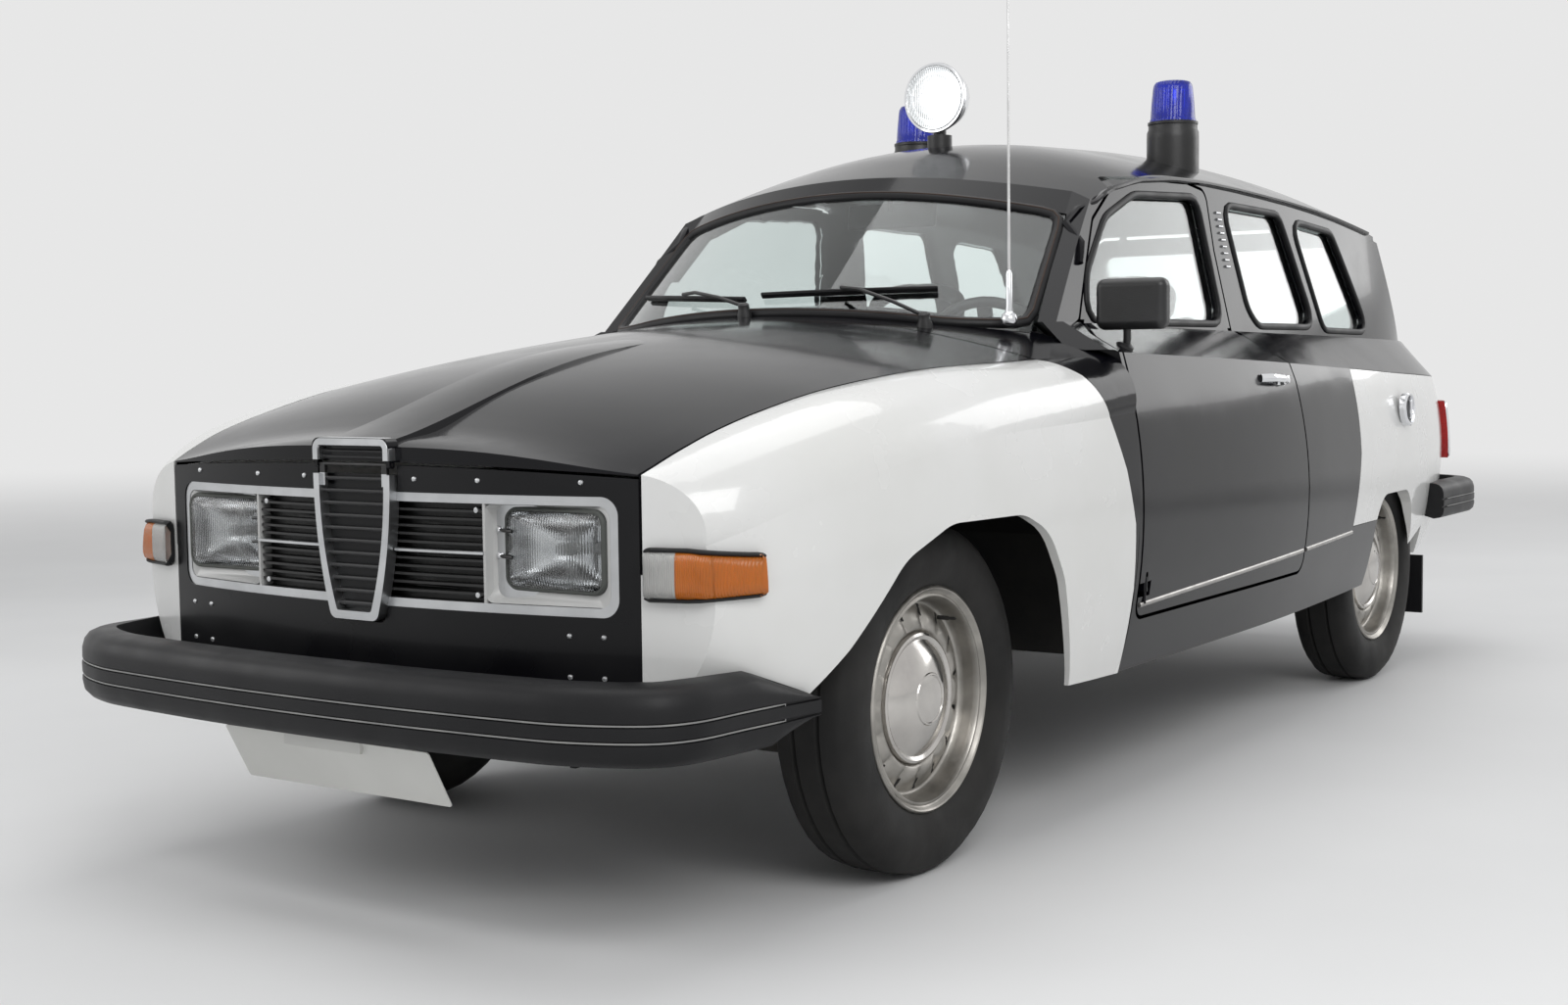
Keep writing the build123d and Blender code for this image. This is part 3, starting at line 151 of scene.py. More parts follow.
def add_bump(tree, shader, height, strength, distance=0.002):
    """Bump from a texture's height."""
    bump = add_node(tree, "Bump", {"Strength": strength, "Distance": distance, "Height": height})
    tree.links.new(bump.outputs["Normal"], shader.inputs["Normal"])


def varied(name, dark, light, scale, rough, rough_scale, sockets=()):
    """Material whose colour and roughness wander, with some sockets of its shader set."""
    mat = bpy.data.materials.new(name)
    mat.use_nodes = True
    tree = mat.node_tree
    shader = tree.nodes["Principled BSDF"]
    vary_colour(tree, shader, dark, light, scale)
    vary_roughness(tree, shader, *rough, rough_scale)
    for socket, value in dict(sockets).items():
        shader.inputs[socket].default_value = value
    return mat, tree, shader


def paint(name, dark, light, coat, rough, shine=0.5):
    """Sprayed paint under a clear coat, with faint orange peel and dust."""
    sockets = {"Coat Weight": coat, "Coat Roughness": 0.04, "Specular IOR Level": shine}
    mat, tree, shader = varied(name, dark, light, 3.0, rough, 6.0, sockets)
    add_bump(tree, shader, noise(tree, 260.0, 2.0), 0.02)
    return mat


def metal(name, dark, light, rough, bump=0.03):
    """Bare or plated metal with fine marks."""
    mat, tree, shader = varied(name, dark, light, 14.0, rough, 30.0, {"Metallic": 1.0})
    add_bump(tree, shader, noise(tree, 180.0, 3.0), bump)
    return mat


def rubber(name, dark, light, rough=(0.45, 0.62), grain=420.0, bump=0.12):
    """Rubber or soft plastic with a fine moulded grain."""
    mat, tree, shader = varied(name, dark, light, 5.0, rough, 12.0, {"Specular IOR Level": 0.25})
    add_bump(tree, shader, noise(tree, grain, 3.0), bump)
    return mat


def plastic(name, dark, light):
    """Moulded plastic with a leather-like grain."""
    mat, tree, shader = varied(name, dark, light, 8.0, (0.3, 0.42), 20.0)
    cells = add_node(tree, "TexVoronoi", {"Vector": own_place(tree), "Scale": 350.0})
    add_bump(tree, shader, cells.outputs["Distance"], 0.15, 0.001)
    return mat


def lens(name, colour, transmission, pitch, rough=0.08, bump=0.35):
    """Tinted lens with moulded ribs."""
    mat, tree, shader = varied(name, [c * 0.85 for c in colour], colour, 20.0, (rough, rough + 0.08), 40.0,
                               {"Transmission Weight": transmission, "IOR": 1.49})
    ribs = add_node(tree, "TexWave", {"Vector": own_place(tree), "Scale": pitch, "Distortion": 0.0},
                    bands_direction="X")
    add_bump(tree, shader, ribs.outputs["Fac"], bump)
    return mat


def window(name, tint):
    """Flat car glass, thin and faintly tinted, with a little dust."""
    mat, tree, shader = varied(name, [c * 0.97 for c in tint], tint, 4.0, (0.0, 0.03), 5.0,
                               {"Transmission Weight": 1.0, "IOR": 1.45})
    add_bump(tree, shader, noise(tree, 3.0, 1.0), 0.02, 0.001)
    return mat


def cloth(name, dark, light):
    """Woven seat cloth."""
    mat, tree, shader = varied(name, dark, light, 60.0, (0.8, 0.95), 30.0,
                               {"Sheen Weight": 0.3, "Sheen Roughness": 0.4})
    threads = add_node(tree, "TexBrick", {"Vector": own_place(tree), "Scale": 225.0, "Mortar Size": 0.03})
    add_bump(tree, shader, threads.outputs["Fac"], 0.3, 0.001)
    return mat


# Each finish: its maker, then the maker's values
FINISHES = {
    "body_black": (paint, (0.002, 0.002, 0.003), (0.004, 0.004, 0.006), 0.16, (0.10, 0.18), 0.16),
    "fender_white": (paint, (0.74, 0.74, 0.72), (0.79, 0.79, 0.78), 0.8, (0.24, 0.29)),
    "nose_black": (paint, (0.003, 0.003, 0.004), (0.007, 0.007, 0.008), 0.10, (0.25, 0.38), 0.2),
    "chassis_black": (rubber, (0.012, 0.012, 0.012), (0.028, 0.026, 0.024), (0.45, 0.62), 90.0, 0.35),
    "chassis_steel": (metal, (0.05, 0.048, 0.045), (0.09, 0.085, 0.08), (0.45, 0.65)),
    "bright_silver": (metal, (0.52, 0.53, 0.54), (0.62, 0.63, 0.64), (0.28, 0.40)),
    "bright_chrome": (metal, (0.80, 0.81, 0.83), (0.88, 0.89, 0.90), (0.04, 0.10), 0.01),
    "chrome_trim": (metal, (0.74, 0.75, 0.77), (0.84, 0.85, 0.87), (0.07, 0.16), 0.02),
    "wheel_silver": (metal, (0.28, 0.27, 0.25), (0.44, 0.42, 0.39), (0.30, 0.48)),
    "tyre_rubber": (rubber, (0.012, 0.012, 0.012), (0.024, 0.023, 0.022), (0.6, 0.8), 200.0),
    "bumper_rubber": (rubber, (0.006, 0.006, 0.007), (0.013, 0.013, 0.014), (0.36, 0.50)),
    "black_plastic": (plastic, (0.010, 0.010, 0.010), (0.020, 0.020, 0.021)),
    "window_glass": (window, (0.86, 0.92, 0.91)),
    "lamp_glass": (lens, (0.96, 0.97, 0.97), 1.0, 60.0, 0.0, 0.2),
    "indicator_amber": (lens, (0.85, 0.25, 0.02), 0.5, 90.0),
    "lamp_red": (lens, (0.60, 0.01, 0.01), 0.4, 90.0),
    "beacon_blue": (lens, (0.01, 0.03, 0.62), 0.6, 40.0),
    "plate_white": (paint, (0.60, 0.60, 0.57), (0.70, 0.70, 0.67), 0.3, (0.3, 0.4)),
    "seat_cloth": (cloth, (0.018, 0.018, 0.020), (0.04, 0.04, 0.043)),
    "exhaust_steel": (metal, (0.16, 0.13, 0.11), (0.32, 0.28, 0.25), (0.4, 0.6)),
    "engine_iron": (metal, (0.08, 0.08, 0.08), (0.14, 0.13, 0.12), (0.5, 0.7)),
    "lamp_bowl": (paint, (0.50, 0.50, 0.49), (0.58, 0.58, 0.57), 0.4, (0.30, 0.42)),
    "lamp_grey": (rubber, (0.07, 0.075, 0.07), (0.11, 0.115, 0.105)),
    "grille_grey": (paint, (0.018, 0.018, 0.019), (0.032, 0.032, 0.033), 0.1, (0.3, 0.45), 0.3),
    "indicator_clear": (lens, (0.80, 0.80, 0.78), 0.6, 90.0),
    "seat_piping": (rubber, (0.012, 0.012, 0.013), (0.024, 0.024, 0.026)),
    "dial_black": (paint, (0.006, 0.006, 0.006), (0.012, 0.012, 0.012), 0.2, (0.3, 0.4)),
    "seal_brown": (rubber, (0.030, 0.020, 0.016), (0.055, 0.034, 0.026)),
    "line_grey": (metal, (0.26, 0.26, 0.26), (0.36, 0.36, 0.35), (0.3, 0.45)),
    "line_silver": (metal, (0.34, 0.33, 0.32), (0.44, 0.43, 0.41), (0.25, 0.4)),
    "lamp_mirror": (metal, (0.30, 0.30, 0.30), (0.46, 0.46, 0.46), (0.08, 0.2)),
    "hub_chrome": (metal, (0.50, 0.48, 0.46), (0.62, 0.60, 0.57), (0.10, 0.22)),
    # Dark finish for the sheets in the wheels' slots: painted shade standing for the openings
    "slot_dark": (rubber, (0.008, 0.008, 0.008), (0.016, 0.015, 0.014)),
    "antenna_steel": (metal, (0.60, 0.60, 0.60), (0.75, 0.75, 0.75), (0.2, 0.3)),
}
LOOKS = {name: make(name, *values) for name, (make, *values) in FINISHES.items()}

# Front end's places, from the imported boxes
nose_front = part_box("nose_panel")[0][1]
nose_radius = 2.300
grille_low, grille_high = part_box("grille")
lamp_low, lamp_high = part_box("headlamps")
shield_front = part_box("grille_shield")[0][1]
slat_reach = 0.2648
shield_top = 0.748
# Colours, metal share and roughness of the two finishes of the grille
SILVER = ((0.52, 0.53, 0.54), (0.62, 0.63, 0.64), 1.0, (0.28, 0.40))
BLACK = ((0.006, 0.006, 0.006), (0.012, 0.012, 0.012), 0.0, (0.35, 0.5))


def two_faced(name, test):
    """Silver and black in one material; the test gets X, Y and Z and is 1 where the black shows."""
    mat = bpy.data.materials.new(name)
    mat.use_nodes = True
    tree = mat.node_tree
    tree.nodes.remove(tree.nodes["Principled BSDF"])
    shaders = []
    for dark, light, metallic, rough in (SILVER, BLACK):
        shader = add_node(tree, "BsdfPrincipled", {"Metallic": metallic})
        vary_colour(tree, shader, dark, light, 14.0)
        vary_roughness(tree, shader, *rough, 30.0)
        add_bump(tree, shader, noise(tree, 200.0, 3.0), 0.03)
        shaders.append(shader.outputs["BSDF"])
    parts = add_node(tree, "SeparateXYZ", {"Vector": own_place(tree)})
    mix_into("Material Output", tree, test(tree, *parts.outputs), *shaders)
    return mat


def behind_face(tree, x, y, z):
    """One on the slats, which lie behind the nose's bowed face."""
    square = math_node(tree, "MULTIPLY", x, x)
    bow = math_node(tree, "MULTIPLY_ADD", square, 1 / (2 * nose_radius), nose_front + 0.005)
    deep = math_node(tree, "GREATER_THAN", y, bow)
    return math_node(tree, "MULTIPLY", deep, math_node(tree, "LESS_THAN", square, slat_reach ** 2))


def above_frame(tree, x, y, z):
    """One above the shield's frame, on its hinge rod."""
    return math_node(tree, "GREATER_THAN", z, shield_top + 0.001)


def dress_frame():
    """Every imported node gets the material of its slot; the grille and its shield get two."""
    looks = {entry["node"]: LOOKS[entry["material_slot"]] for entry in frame["record"]["subparts"]}
    looks["grille"] = two_faced("grille_face", behind_face)
    looks["grille_shield"] = two_faced("grille_shield_face", above_frame)
    for name, look in looks.items():
        nodes[name].data.materials.clear()
        nodes[name].data.materials.append(look)


# Shape helpers


def new_piece(name, points, faces, material, body="root", angle=35.0):
    """Mesh piece that rides on a body and takes the named finish."""
    mesh = bpy.data.meshes.new(name)
    mesh.from_pydata([tuple(p) for p in points], [], faces)
    mesh.validate()
    mesh.update()
    mesh.shade_smooth()
    mesh.set_sharp_from_angle(angle=radians(angle))
    mesh.materials.append(LOOKS[material])
    piece = placed(name, mesh)
    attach(piece, body)
    return piece


def thickened(piece, depth, offset=0.0):
    """Gives a thin skin a wall."""
    wall = piece.modifiers.new("wall", "SOLIDIFY")
    wall.thickness = depth
    wall.offset = offset


def grid_faces(rows, columns, close_rows=False, close_columns=False):
    """Quads between the points of a grid given row after row."""
    faces = []
    for i in range(rows if close_rows else rows - 1):
        for j in range(columns if close_columns else columns - 1):
            here, ahead = i * columns, (i + 1) % rows * columns
            beside = (j + 1) % columns
            faces.append((here + j, here + beside, ahead + beside, ahead + j))
    return faces


def tube_faces(rings, count, loop):
    """Faces of a tube, closed on itself or capped at both ends."""
    faces = grid_faces(rings, count, close_rows=loop, close_columns=True)
    if not loop:
        faces += [tuple(range(count))[::-1], tuple(range((rings - 1) * count, rings * count))]
    return faces


def turned(name, profile, centre, along, material, body="root", segments=48, wave=None, loop=False,
           angle=35.0):
    """Turned piece: the profile's (radius, place along the axis) pairs go round the axis."""
    axis = Vector(along).normalized()
    side = axis.orthogonal().normalized()
    other = axis.cross(side)
    points = []
    for radius, place in profile:
        for k in range(segments):
            turn = 2 * pi * k / segments
            rise = wave(turn, radius) if wave else 0.0
            points.append(Vector(centre) + axis * (place + rise) + side * (radius * cos(turn))
                          + other * (radius * sin(turn)))
    return new_piece(name, points, tube_faces(len(profile), segments, loop), material, body, angle)


def swept(name, path, normals, section, material, body="root", closed=False, angle=35.0):
    """Section, as (sideways, outward) pairs, carried along a path that faces one way or several."""
    if isinstance(normals, (tuple, Vector)):
        normals = [normals] * len(path)
    count = len(path)
    points = []
    for i in range(count):
        before = path[i - 1] if closed or i > 0 else path[i]
        after = path[(i + 1) % count] if closed or i < count - 1 else path[i]
        tangent = (after - before).normalized()
        side = tangent.cross(Vector(normals[i]).normalized()).normalized()
        normal = side.cross(tangent).normalized()
        points.extend(path[i] + side * u + normal * v for u, v in section)
    return new_piece(name, points, tube_faces(count, len(section), closed), material, body, angle)


def both_sides(half):
    """Section from one half, mirrored to the other side."""
    return half + [(-u, v) for u, v in reversed(half)]


def round_section(radius, count=10, flat=1.0):
    """Round or flattened section for a sweep."""
    return [(radius * cos(2 * pi * k / count), radius * flat * sin(2 * pi * k / count)) for k in range(count)]


def bead_section(width, height, sink=0.002):
    """Half-round bead that stands on a surface and sinks a little into it."""
    arc = [(width / 2 * cos(pi * k / 8), height * sin(pi * k / 8)) for k in range(9)]
    return [(width / 2, -sink)] + arc + [(-width / 2, -sink)]


def wire(name, path, radius, material, body="root", count=8):
    """Round wire through the given points."""
    path = [Vector(p) for p in path]
    way = (path[1] - path[0]).orthogonal()
    return swept(name, path, way, round_section(radius, count), material, body)


BLOCK_FACES = [(0, 1, 3, 2), (4, 6, 7, 5), (0, 4, 5, 1), (2, 3, 7, 6), (0, 2, 6, 4), (1, 5, 7, 3)]


def block_points(half):
    """Corners of a block about its middle."""
    return [Vector((x * half.x, y * half.y, z * half.z)) for x in (-1, 1) for y in (-1, 1) for z in (-1, 1)]


def brick(name, low, high, material, body="root", radius=0.003, segments=3, tilt=None):
    """Block with rounded edges between two corners, turned about its middle by an optional matrix."""
    low, high = Vector(low), Vector(high)
    points = block_points((high - low) / 2)
    if tilt is not None:
        points = [tilt @ point for point in points]
    points = [(low + high) / 2 + point for point in points]
    piece = new_piece(name, points, BLOCK_FACES, material, body)
    bevel = piece.modifiers.new("bevel", "BEVEL")
    bevel.width = radius
    bevel.segments = segments
    bevel.limit_method = "ANGLE"
    bevel.angle_limit = radians(30.0)
    bevel.harden_normals = True
    return piece


def rectangle(x_low, x_high, y_low, y_high):
    """Corners of a rectangle in a plane."""
    return [Vector((x_low, y_low)), Vector((x_high, y_low)), Vector((x_high, y_high)),
            Vector((x_low, y_high))]


def rounded_outline(corners, radius, steps=6):
    """Closed outline with an arc at each corner."""
    out = []
    n = len(corners)
    for i in range(n):
        a, b, c = (Vector(corners[(i + k - 1) % n]) for k in range(3))
        u = (a - b).normalized()
        v = (c - b).normalized()
        half_angle = u.angle(v) / 2
        reach = min(radius / max(0.05, abs(sin(half_angle) / max(cos(half_angle), 1e-6))),
                    0.45 * (a - b).length, 0.45 * (c - b).length)
        start, stop = b + u * reach, b + v * reach
        for k in range(steps + 1):
            t = k / steps
            out.append((1 - t) ** 2 * start + 2 * t * (1 - t) * b + t * t * stop)
    return out


def smoothed(points, rounds=2, closed=True):
    """Evens out the corners of a dense outline."""
    for _ in range(rounds):
        n = len(points)
        points = [points[i] if not closed and i in (0, n - 1)
                  else (points[i - 1] + 2 * points[i] + points[(i + 1) % n]) / 4 for i in range(n)]
    return points


def spaced(points, step, closed=True):
    """The same line with points at an even spacing."""
    ring = points + [points[0]] if closed else points
    lengths = [0.0]
    for a, b in zip(ring, ring[1:]):
        lengths.append(lengths[-1] + (b - a).length)
    count = max(3, int(round(lengths[-1] / step)))
    out = []
    k = 0
    for i in range(count if closed else count + 1):
        want = lengths[-1] * i / count
        while k < len(lengths) - 2 and lengths[k + 1] < want:
            k += 1
        span = lengths[k + 1] - lengths[k]
        out.append(ring[k].lerp(ring[k + 1], (want - lengths[k]) / span if span else 0.0))
    return out


def outline_step(points, amount):
    """Closed outline moved outward in its plane by an amount."""
    area = sum(a.x * b.y - b.x * a.y for a, b in zip(points, points[1:] + points[:1]))
    way = 1 if area > 0 else -1
    out = []
    n = len(points)
    for i in range(n):
        t = (points[(i + 1) % n] - points[i - 1]).normalized()
        out.append(points[i] + Vector((t.y, -t.x)) * amount * way)
    return out


surfaces = {}


def surface(*names):
    """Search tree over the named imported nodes."""
    if names not in surfaces:
        points, faces = [], []
        for name in names:
            mesh = nodes[name].data
            base = len(points)
            points.extend(v.co.copy() for v in mesh.vertices)
            faces.extend([base + v for v in poly.vertices] for poly in mesh.polygons)
        surfaces[names] = BVHTree.FromPolygons(points, faces)
    return surfaces[names]


def cast(tree, start, way):
    """First point and outward normal that a ray meets on a surface."""
    place, normal, _, _ = tree.ray_cast(Vector(start), Vector(way))
    if place is None:
        return None, None
    return place, -normal if normal.dot(Vector(way)) > 0 else normal


def all_cast(tree, rays):
    """Points and normals of the rays that meet a surface."""
    met = [cast(tree, start, way) for start, way in rays]
    met = [pair for pair in met if pair[0] is not None]
    return [place for place, _ in met], [normal for _, normal in met]


def on_side(names, outline, side=1):
    """Outline of (y, z) points laid on the car's side, with the surface's normals."""
    tree = surface(*names)
    out = Vector((side, 0, 0))
    path, normals = [], []
    for y, z in outline:
        place, normal = cast(tree, (2.0 * side, y, z), (-side, 0, 0))
        if place is None:
            near, normal, _, _ = tree.find_nearest(Vector((0.7 * side, y, z)))
            place = Vector((near.x, y, z))
        path.append(place)
        normals.append(out * 0.5 + normal * 0.5 if normal.x * side > 0.2 else out)
    return path, normals


# Wheels

RIM_BACK = [(0.030, 0.016), (0.118, 0.016), (0.160, 0.006), (0.168, -0.040), (0.182, -0.060),
            (0.2035, -0.063), (0.2040, -0.053), (0.1925, -0.051), (0.1925, 0.050)]
RIM_FACE = [(0.2035, 0.052), (0.2055, 0.058), (0.2045, 0.064), (0.2005, 0.0665), (0.1970, 0.0645),
            (0.1945, 0.059), (0.1915, 0.0575), (0.1885, 0.0600), (0.1855, 0.0600), (0.1830, 0.056),
            (0.1815, 0.046), (0.1795, 0.032), (0.1770, 0.023), (0.1740, 0.019), (0.1700, 0.0185),
            (0.1640, 0.0225), (0.1560, 0.0285), (0.1450, 0.0340), (0.1340, 0.0370), (0.1260, 0.0360),
            (0.1220, 0.0320), (0.1180, 0.0260), (0.0300, 0.0240)]
HUB_CAP = [(0.1190, 0.024), (0.1195, 0.033), (0.1175, 0.0385), (0.1130, 0.0405), (0.1085, 0.0385),
           (0.1060, 0.0370), (0.1030, 0.0385), (0.0950, 0.0440), (0.0750, 0.0530), (0.0550, 0.0590),
           (0.0480, 0.0605), (0.0465, 0.0625), (0.0435, 0.0630), (0.0420, 0.0615), (0.0250, 0.0640),
           (0.0010, 0.0650)]
TYRE = [(0.1922, -0.050), (0.2165, -0.0690), (0.2580, -0.0785), (0.2960, -0.0720), (0.3125, -0.0580),
        (0.3165, -0.030), (0.3085, -0.025), (0.3170, -0.020), (0.3170, 0.0), (0.3170, 0.020),
        (0.3085, 0.025), (0.3165, 0.030), (0.3125, 0.0580), (0.2960, 0.0720), (0.2580, 0.0785),
        (0.2165, 0.0690), (0.1922, 0.050)]
VALVE = [(0.004, -0.012), (0.004, 0.010), (0.0028, 0.012), (0.0028, 0.024), (0.0012, 0.026)]
# Radius, half width and place along the axle of each slot's edge points
SLOT = ((0.1695, 0.0045, 0.0195), (0.1640, 0.0060, 0.0205), (0.1560, 0.0050, 0.0240),
        (0.1480, 0.0022, 0.0290))
facet_count = 15
facet_inner = 0.124
facet_outer = 0.168


def facets(turn, radius):
    """Shallow hollows pressed between the wheel's raised facets."""
    if not facet_inner < radius < facet_outer:
        return 0.0
    share = sin(pi * (radius - facet_inner) / (facet_outer - facet_inner))
    return -0.009 * share * (1 - abs(cos(facet_count * turn / 2))) ** 2


def make_wheel(name):
    """Steel rim with pressed facets, dark sheets in its slots as painted shade for their openings, domed cap,
    valve and tyre.
    """
    low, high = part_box(f"rim_{name}")
    centre = (Vector(low) + Vector(high)) / 2
    way = 1 if centre.x > 0 else -1
    body = f"wheel_{name}"
    along = Vector((way, 0, 0))
    rim = turned(f"wheel_face_{name}", RIM_BACK + RIM_FACE, centre, along, "wheel_silver", body, 120, facets,
                 angle=50)
    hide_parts(f"rim_{name}")
    turned(f"hub_cap_{name}", HUB_CAP, centre, along, "hub_chrome", body, 72)
    tyre = turned(f"road_tyre_{name}", TYRE, centre, along, "tyre_rubber", body, 44, loop=True, angle=50)
    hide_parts(f"tyre_{name}")
    # Dark quads laid in the slots: painted shade where the openings through the rim would show dark
    first = along.orthogonal().normalized()
    points, faces = [], []
    for k in range(facet_count):
        turn = 2 * pi * (k + 0.5) / facet_count
        out = first * cos(turn) + along.cross(first) * sin(turn)
        aside = along.cross(out)
        start = len(points)
        points += [centre + out * radius + aside * half_wide * t + along * place
                   for radius, half_wide, place in SLOT for t in (-1, 1)]
        faces += [(start + i, start + i + 1, start + i + 3, start + i + 2) for i in (0, 2, 4)]
    new_piece(f"wheel_slot_shade_{name}", points, faces, "slot_dark", body)
    valve = centre + Vector((way * 0.036, 0.150 * cos(0.9), 0.172 * sin(0.9)))
    turned(f"valve_{name}", VALVE, valve, along, "tyre_rubber", body, 10)


# Front end

lamp_width = 0.200
lamp_height = 0.127
lamp_x = lamp_high[0] - lamp_width / 2
lamp_z = (lamp_low[2] + lamp_high[2]) / 2
lamp_y = lamp_low[1]
bowl_inner = 0.2665
bowl_outer = 0.4965
# Height and half width of the shield at its foot, middle and top
SHIELD_SIDES = ((0.505, 0.054), (0.640, 0.083), (shield_top, 0.090))
shield_foot = SHIELD_SIDES[0][0]
shield_frame = 0.014
SLAT = both_sides([(0.003, -0.008), (0.003, 0.0), (0.001, 0.0015)])
BULB = [(0.011, 0.0), (0.011, 0.018), (0.009, 0.026), (0.004, 0.031), (0.001, 0.032)]
BOSS = [(0.006, 0.0), (0.006, 0.008), (0.004, 0.011), (0.0015, 0.012)]
SCREW = [(0.0055, -0.012), (0.0055, 0.0), (0.0045, 0.0025), (0.001, 0.003)]
RIVET = [(0.0045, -0.003), (0.0045, 0.0006), (0.0035, 0.0024), (0.001, 0.0030)]


def nose_y(x):
    """Y of the nose's plan curve."""
    return nose_front + nose_radius - sqrt(nose_radius ** 2 - x * x)


def shield_half(z):
    """Half width of the shield at a height, from the smooth curve through its three set widths."""
    (za, a), (zb, b), (zc, c) = SHIELD_SIDES
    return (a * (z - zb) * (z - zc) / ((za - zb) * (za - zc))
            + b * (z - za) * (z - zc) / ((zb - za) * (zb - zc))
            + c * (z - za) * (z - zb) / ((zc - za) * (zc - zb)))


def lamp_loop(x_low, x_high, z_low, z_high, radius, steps=8):
    """Rounded upright rectangle as (x, z) points with a fixed count."""
    corners = [(x_high, z_low, -90), (x_high, z_high, 0), (x_low, z_high, 90), (x_low, z_low, 180)]
    out = []
    for x, z, start in corners:
        cx = x - radius if x == x_high else x + radius
        cz = z - radius if z == z_high else z + radius
        for k in range(steps + 1):
            turn = radians(start + 90 * k / steps)
            out.append((cx + radius * cos(turn), cz + radius * sin(turn)))
    return out


def scaled_loop(loop, share):
    """Loop drawn in towards its middle."""
    cx = sum(p[0] for p in loop) / len(loop)
    cz = sum(p[1] for p in loop) / len(loop)
    return [(cx + (x - cx) * share, cz + (z - cz) * share) for x, z in loop]


def stack(name, loops, material, cap=True):
    """Skin over closed loops of 3-D points, with the last one capped."""
    n = len(loops[0])
    faces = grid_faces(len(loops), n, close_columns=True)
    if cap:
        faces.append(tuple(range((len(loops) - 1) * n, len(loops) * n)))
    return new_piece(name, [p for loop in loops for p in loop], faces, material, angle=60)


def make_headlamp(side):
    """Silver bowl, reflector, bulb, fluted lens with its rim, and the wiper's stubs."""
    word = SIDES[side]
    low, high = lamp_x - lamp_width / 2, lamp_x + lamp_width / 2
    foot, top = lamp_z - lamp_height / 2, lamp_z + lamp_height / 2
    outer = lamp_loop(bowl_inner, bowl_outer, grille_low[2] + 0.0155, grille_high[2] - 0.0155, 0.016)
    inner = lamp_loop(low - 0.004, high + 0.004, foot - 0.004, top + 0.004, 0.022)
    bowl = []
    for share, deep in ((0.0, 0.0), (0.05, 0.12), (0.35, 0.75), (0.6, 0.95), (1.0, 1.0)):
        ring = [((1 - share) * a[0] + share * b[0], (1 - share) * a[1] + share * b[1])
                for a, b in zip(outer, inner)]
        bowl.append([(side * x, (1 - deep) * (nose_y(x) + 0.004) + deep * (lamp_y - 0.002), z)
                     for x, z in ring])
    stack(f"lamp_bowl_{word}", bowl, "lamp_bowl", cap=False)
    edge = lamp_loop(low, high, foot, top, 0.020)
    reflector = [[(side * x, lamp_y + deep, z) for x, z in scaled_loop(edge, share)] for share, deep in
                 ((0.985, 0.002), (0.92, 0.018), (0.7, 0.034), (0.45, 0.044), (0.2, 0.050))]
    stack(f"lamp_reflector_{word}", reflector, "bright_chrome")
    turned(f"lamp_bulb_{word}", BULB, (side * lamp_x, lamp_y + 0.048, lamp_z), FORWARD, "lamp_bowl",
           segments=20)
    bulged = []
    for share in (1.0, 0.985, 0.95, 0.85, 0.7, 0.5, 0.25, 0.04):
        y = lamp_y - 0.004 - 0.016 * sqrt(max(0.0, 1 - share ** 2.6))
        bulged.append([(side * x, y, z) for x, z in scaled_loop(edge, share)])
    thickened(stack(f"lamp_lens_{word}", bulged, "lamp_glass"), 0.003)
    swept(f"lamp_rim_{word}", [Vector((side * x, lamp_y - 0.005, z)) for x, z in edge], FORWARD,
          round_section(0.0045, 10, 1.2), "lamp_grey", closed=True)
    x = bowl_inner + 0.010
    for k, z in enumerate((lamp_z + 0.030, lamp_z - 0.012)):
        turned(f"wiper_boss_{word}_{k}", BOSS, (side * x, lamp_y - 0.006, z), FORWARD, "chrome_trim",
               segments=16)
        arm = [(side * (x + a), lamp_y - b, z - c) for a, b, c in
               ((0.002, 0.013, 0.0), (0.012, 0.018, 0.001), (0.032, 0.018, 0.002))]
        wire(f"wiper_arm_{word}_{k}", arm, 0.0030, "black_plastic")


def make_slat(name, half_width, y, z, body="root"):
    """Level slat of the shield."""
    swept(name, [Vector((half_width * t, y, z)) for t in (-1, 0, 1)], FORWARD, SLAT, "grille_grey", body)


def make_grille():
    """Bars, posts and screws of the grille, the shield's slats with a dark sheet of painted shade behind
    them, and its cap on the hood.
    """
    low, high = grille_low[2], grille_high[2]
    bar_start = SHIELD_SIDES[1][1]
    bar = both_sides([(0.003, -0.006), (0.003, 0.001), (0.002, 0.003)])
    post = both_sides([(0.0025, -0.024), (0.0025, 0.001)])
    for side, word in SIDES.items():
        spots = [bar_start + (bowl_inner - bar_start) * k / 8 for k in range(9)]
        swept(f"grille_bar_{word}", [Vector((side * x, nose_y(x) + 0.003, (low + high) / 2)) for x in spots],
              FORWARD, bar, "bright_silver")
        x = bowl_inner + 0.001
        heights = [low + 0.012 + (high - low - 0.024) * k / 4 for k in range(5)]
        swept(f"grille_post_{word}", [Vector((side * x, nose_y(x) + 0.004, z)) for z in heights], FORWARD,
              post, "lamp_bowl")
        x = bowl_inner - 0.018
        for k, z in enumerate((low + 0.026, high - 0.026)):
            turned(f"grille_screw_{word}_{k}", SCREW, (side * x, nose_y(x) + 0.010, z), FORWARD,
                   "bright_silver", segments=16)
    for k in range(11):
        z = shield_foot + 0.026 + (shield_top - 0.008 - shield_foot - 0.026) * k / 10
        make_slat(f"shield_slat_{k}", shield_half(z) - shield_frame + 0.0005, shield_front + 0.010, z)
    # Dark sheet just behind the shield's slats: painted shade in the opening behind them
    heights = [shield_foot + 0.013 + (shield_top - shield_foot - 0.013) * k / 8 for k in range(9)]
    back = [((shield_half(z) - shield_frame + 0.001) * t, shield_front + 0.0205, z) for z in heights
            for t in (-1, 1)]
    new_piece("shield_back_shade", back, [(2 * k, 2 * k + 1, 2 * k + 3, 2 * k + 2) for k in range(8)], "nose_black")
    make_shield_cap()


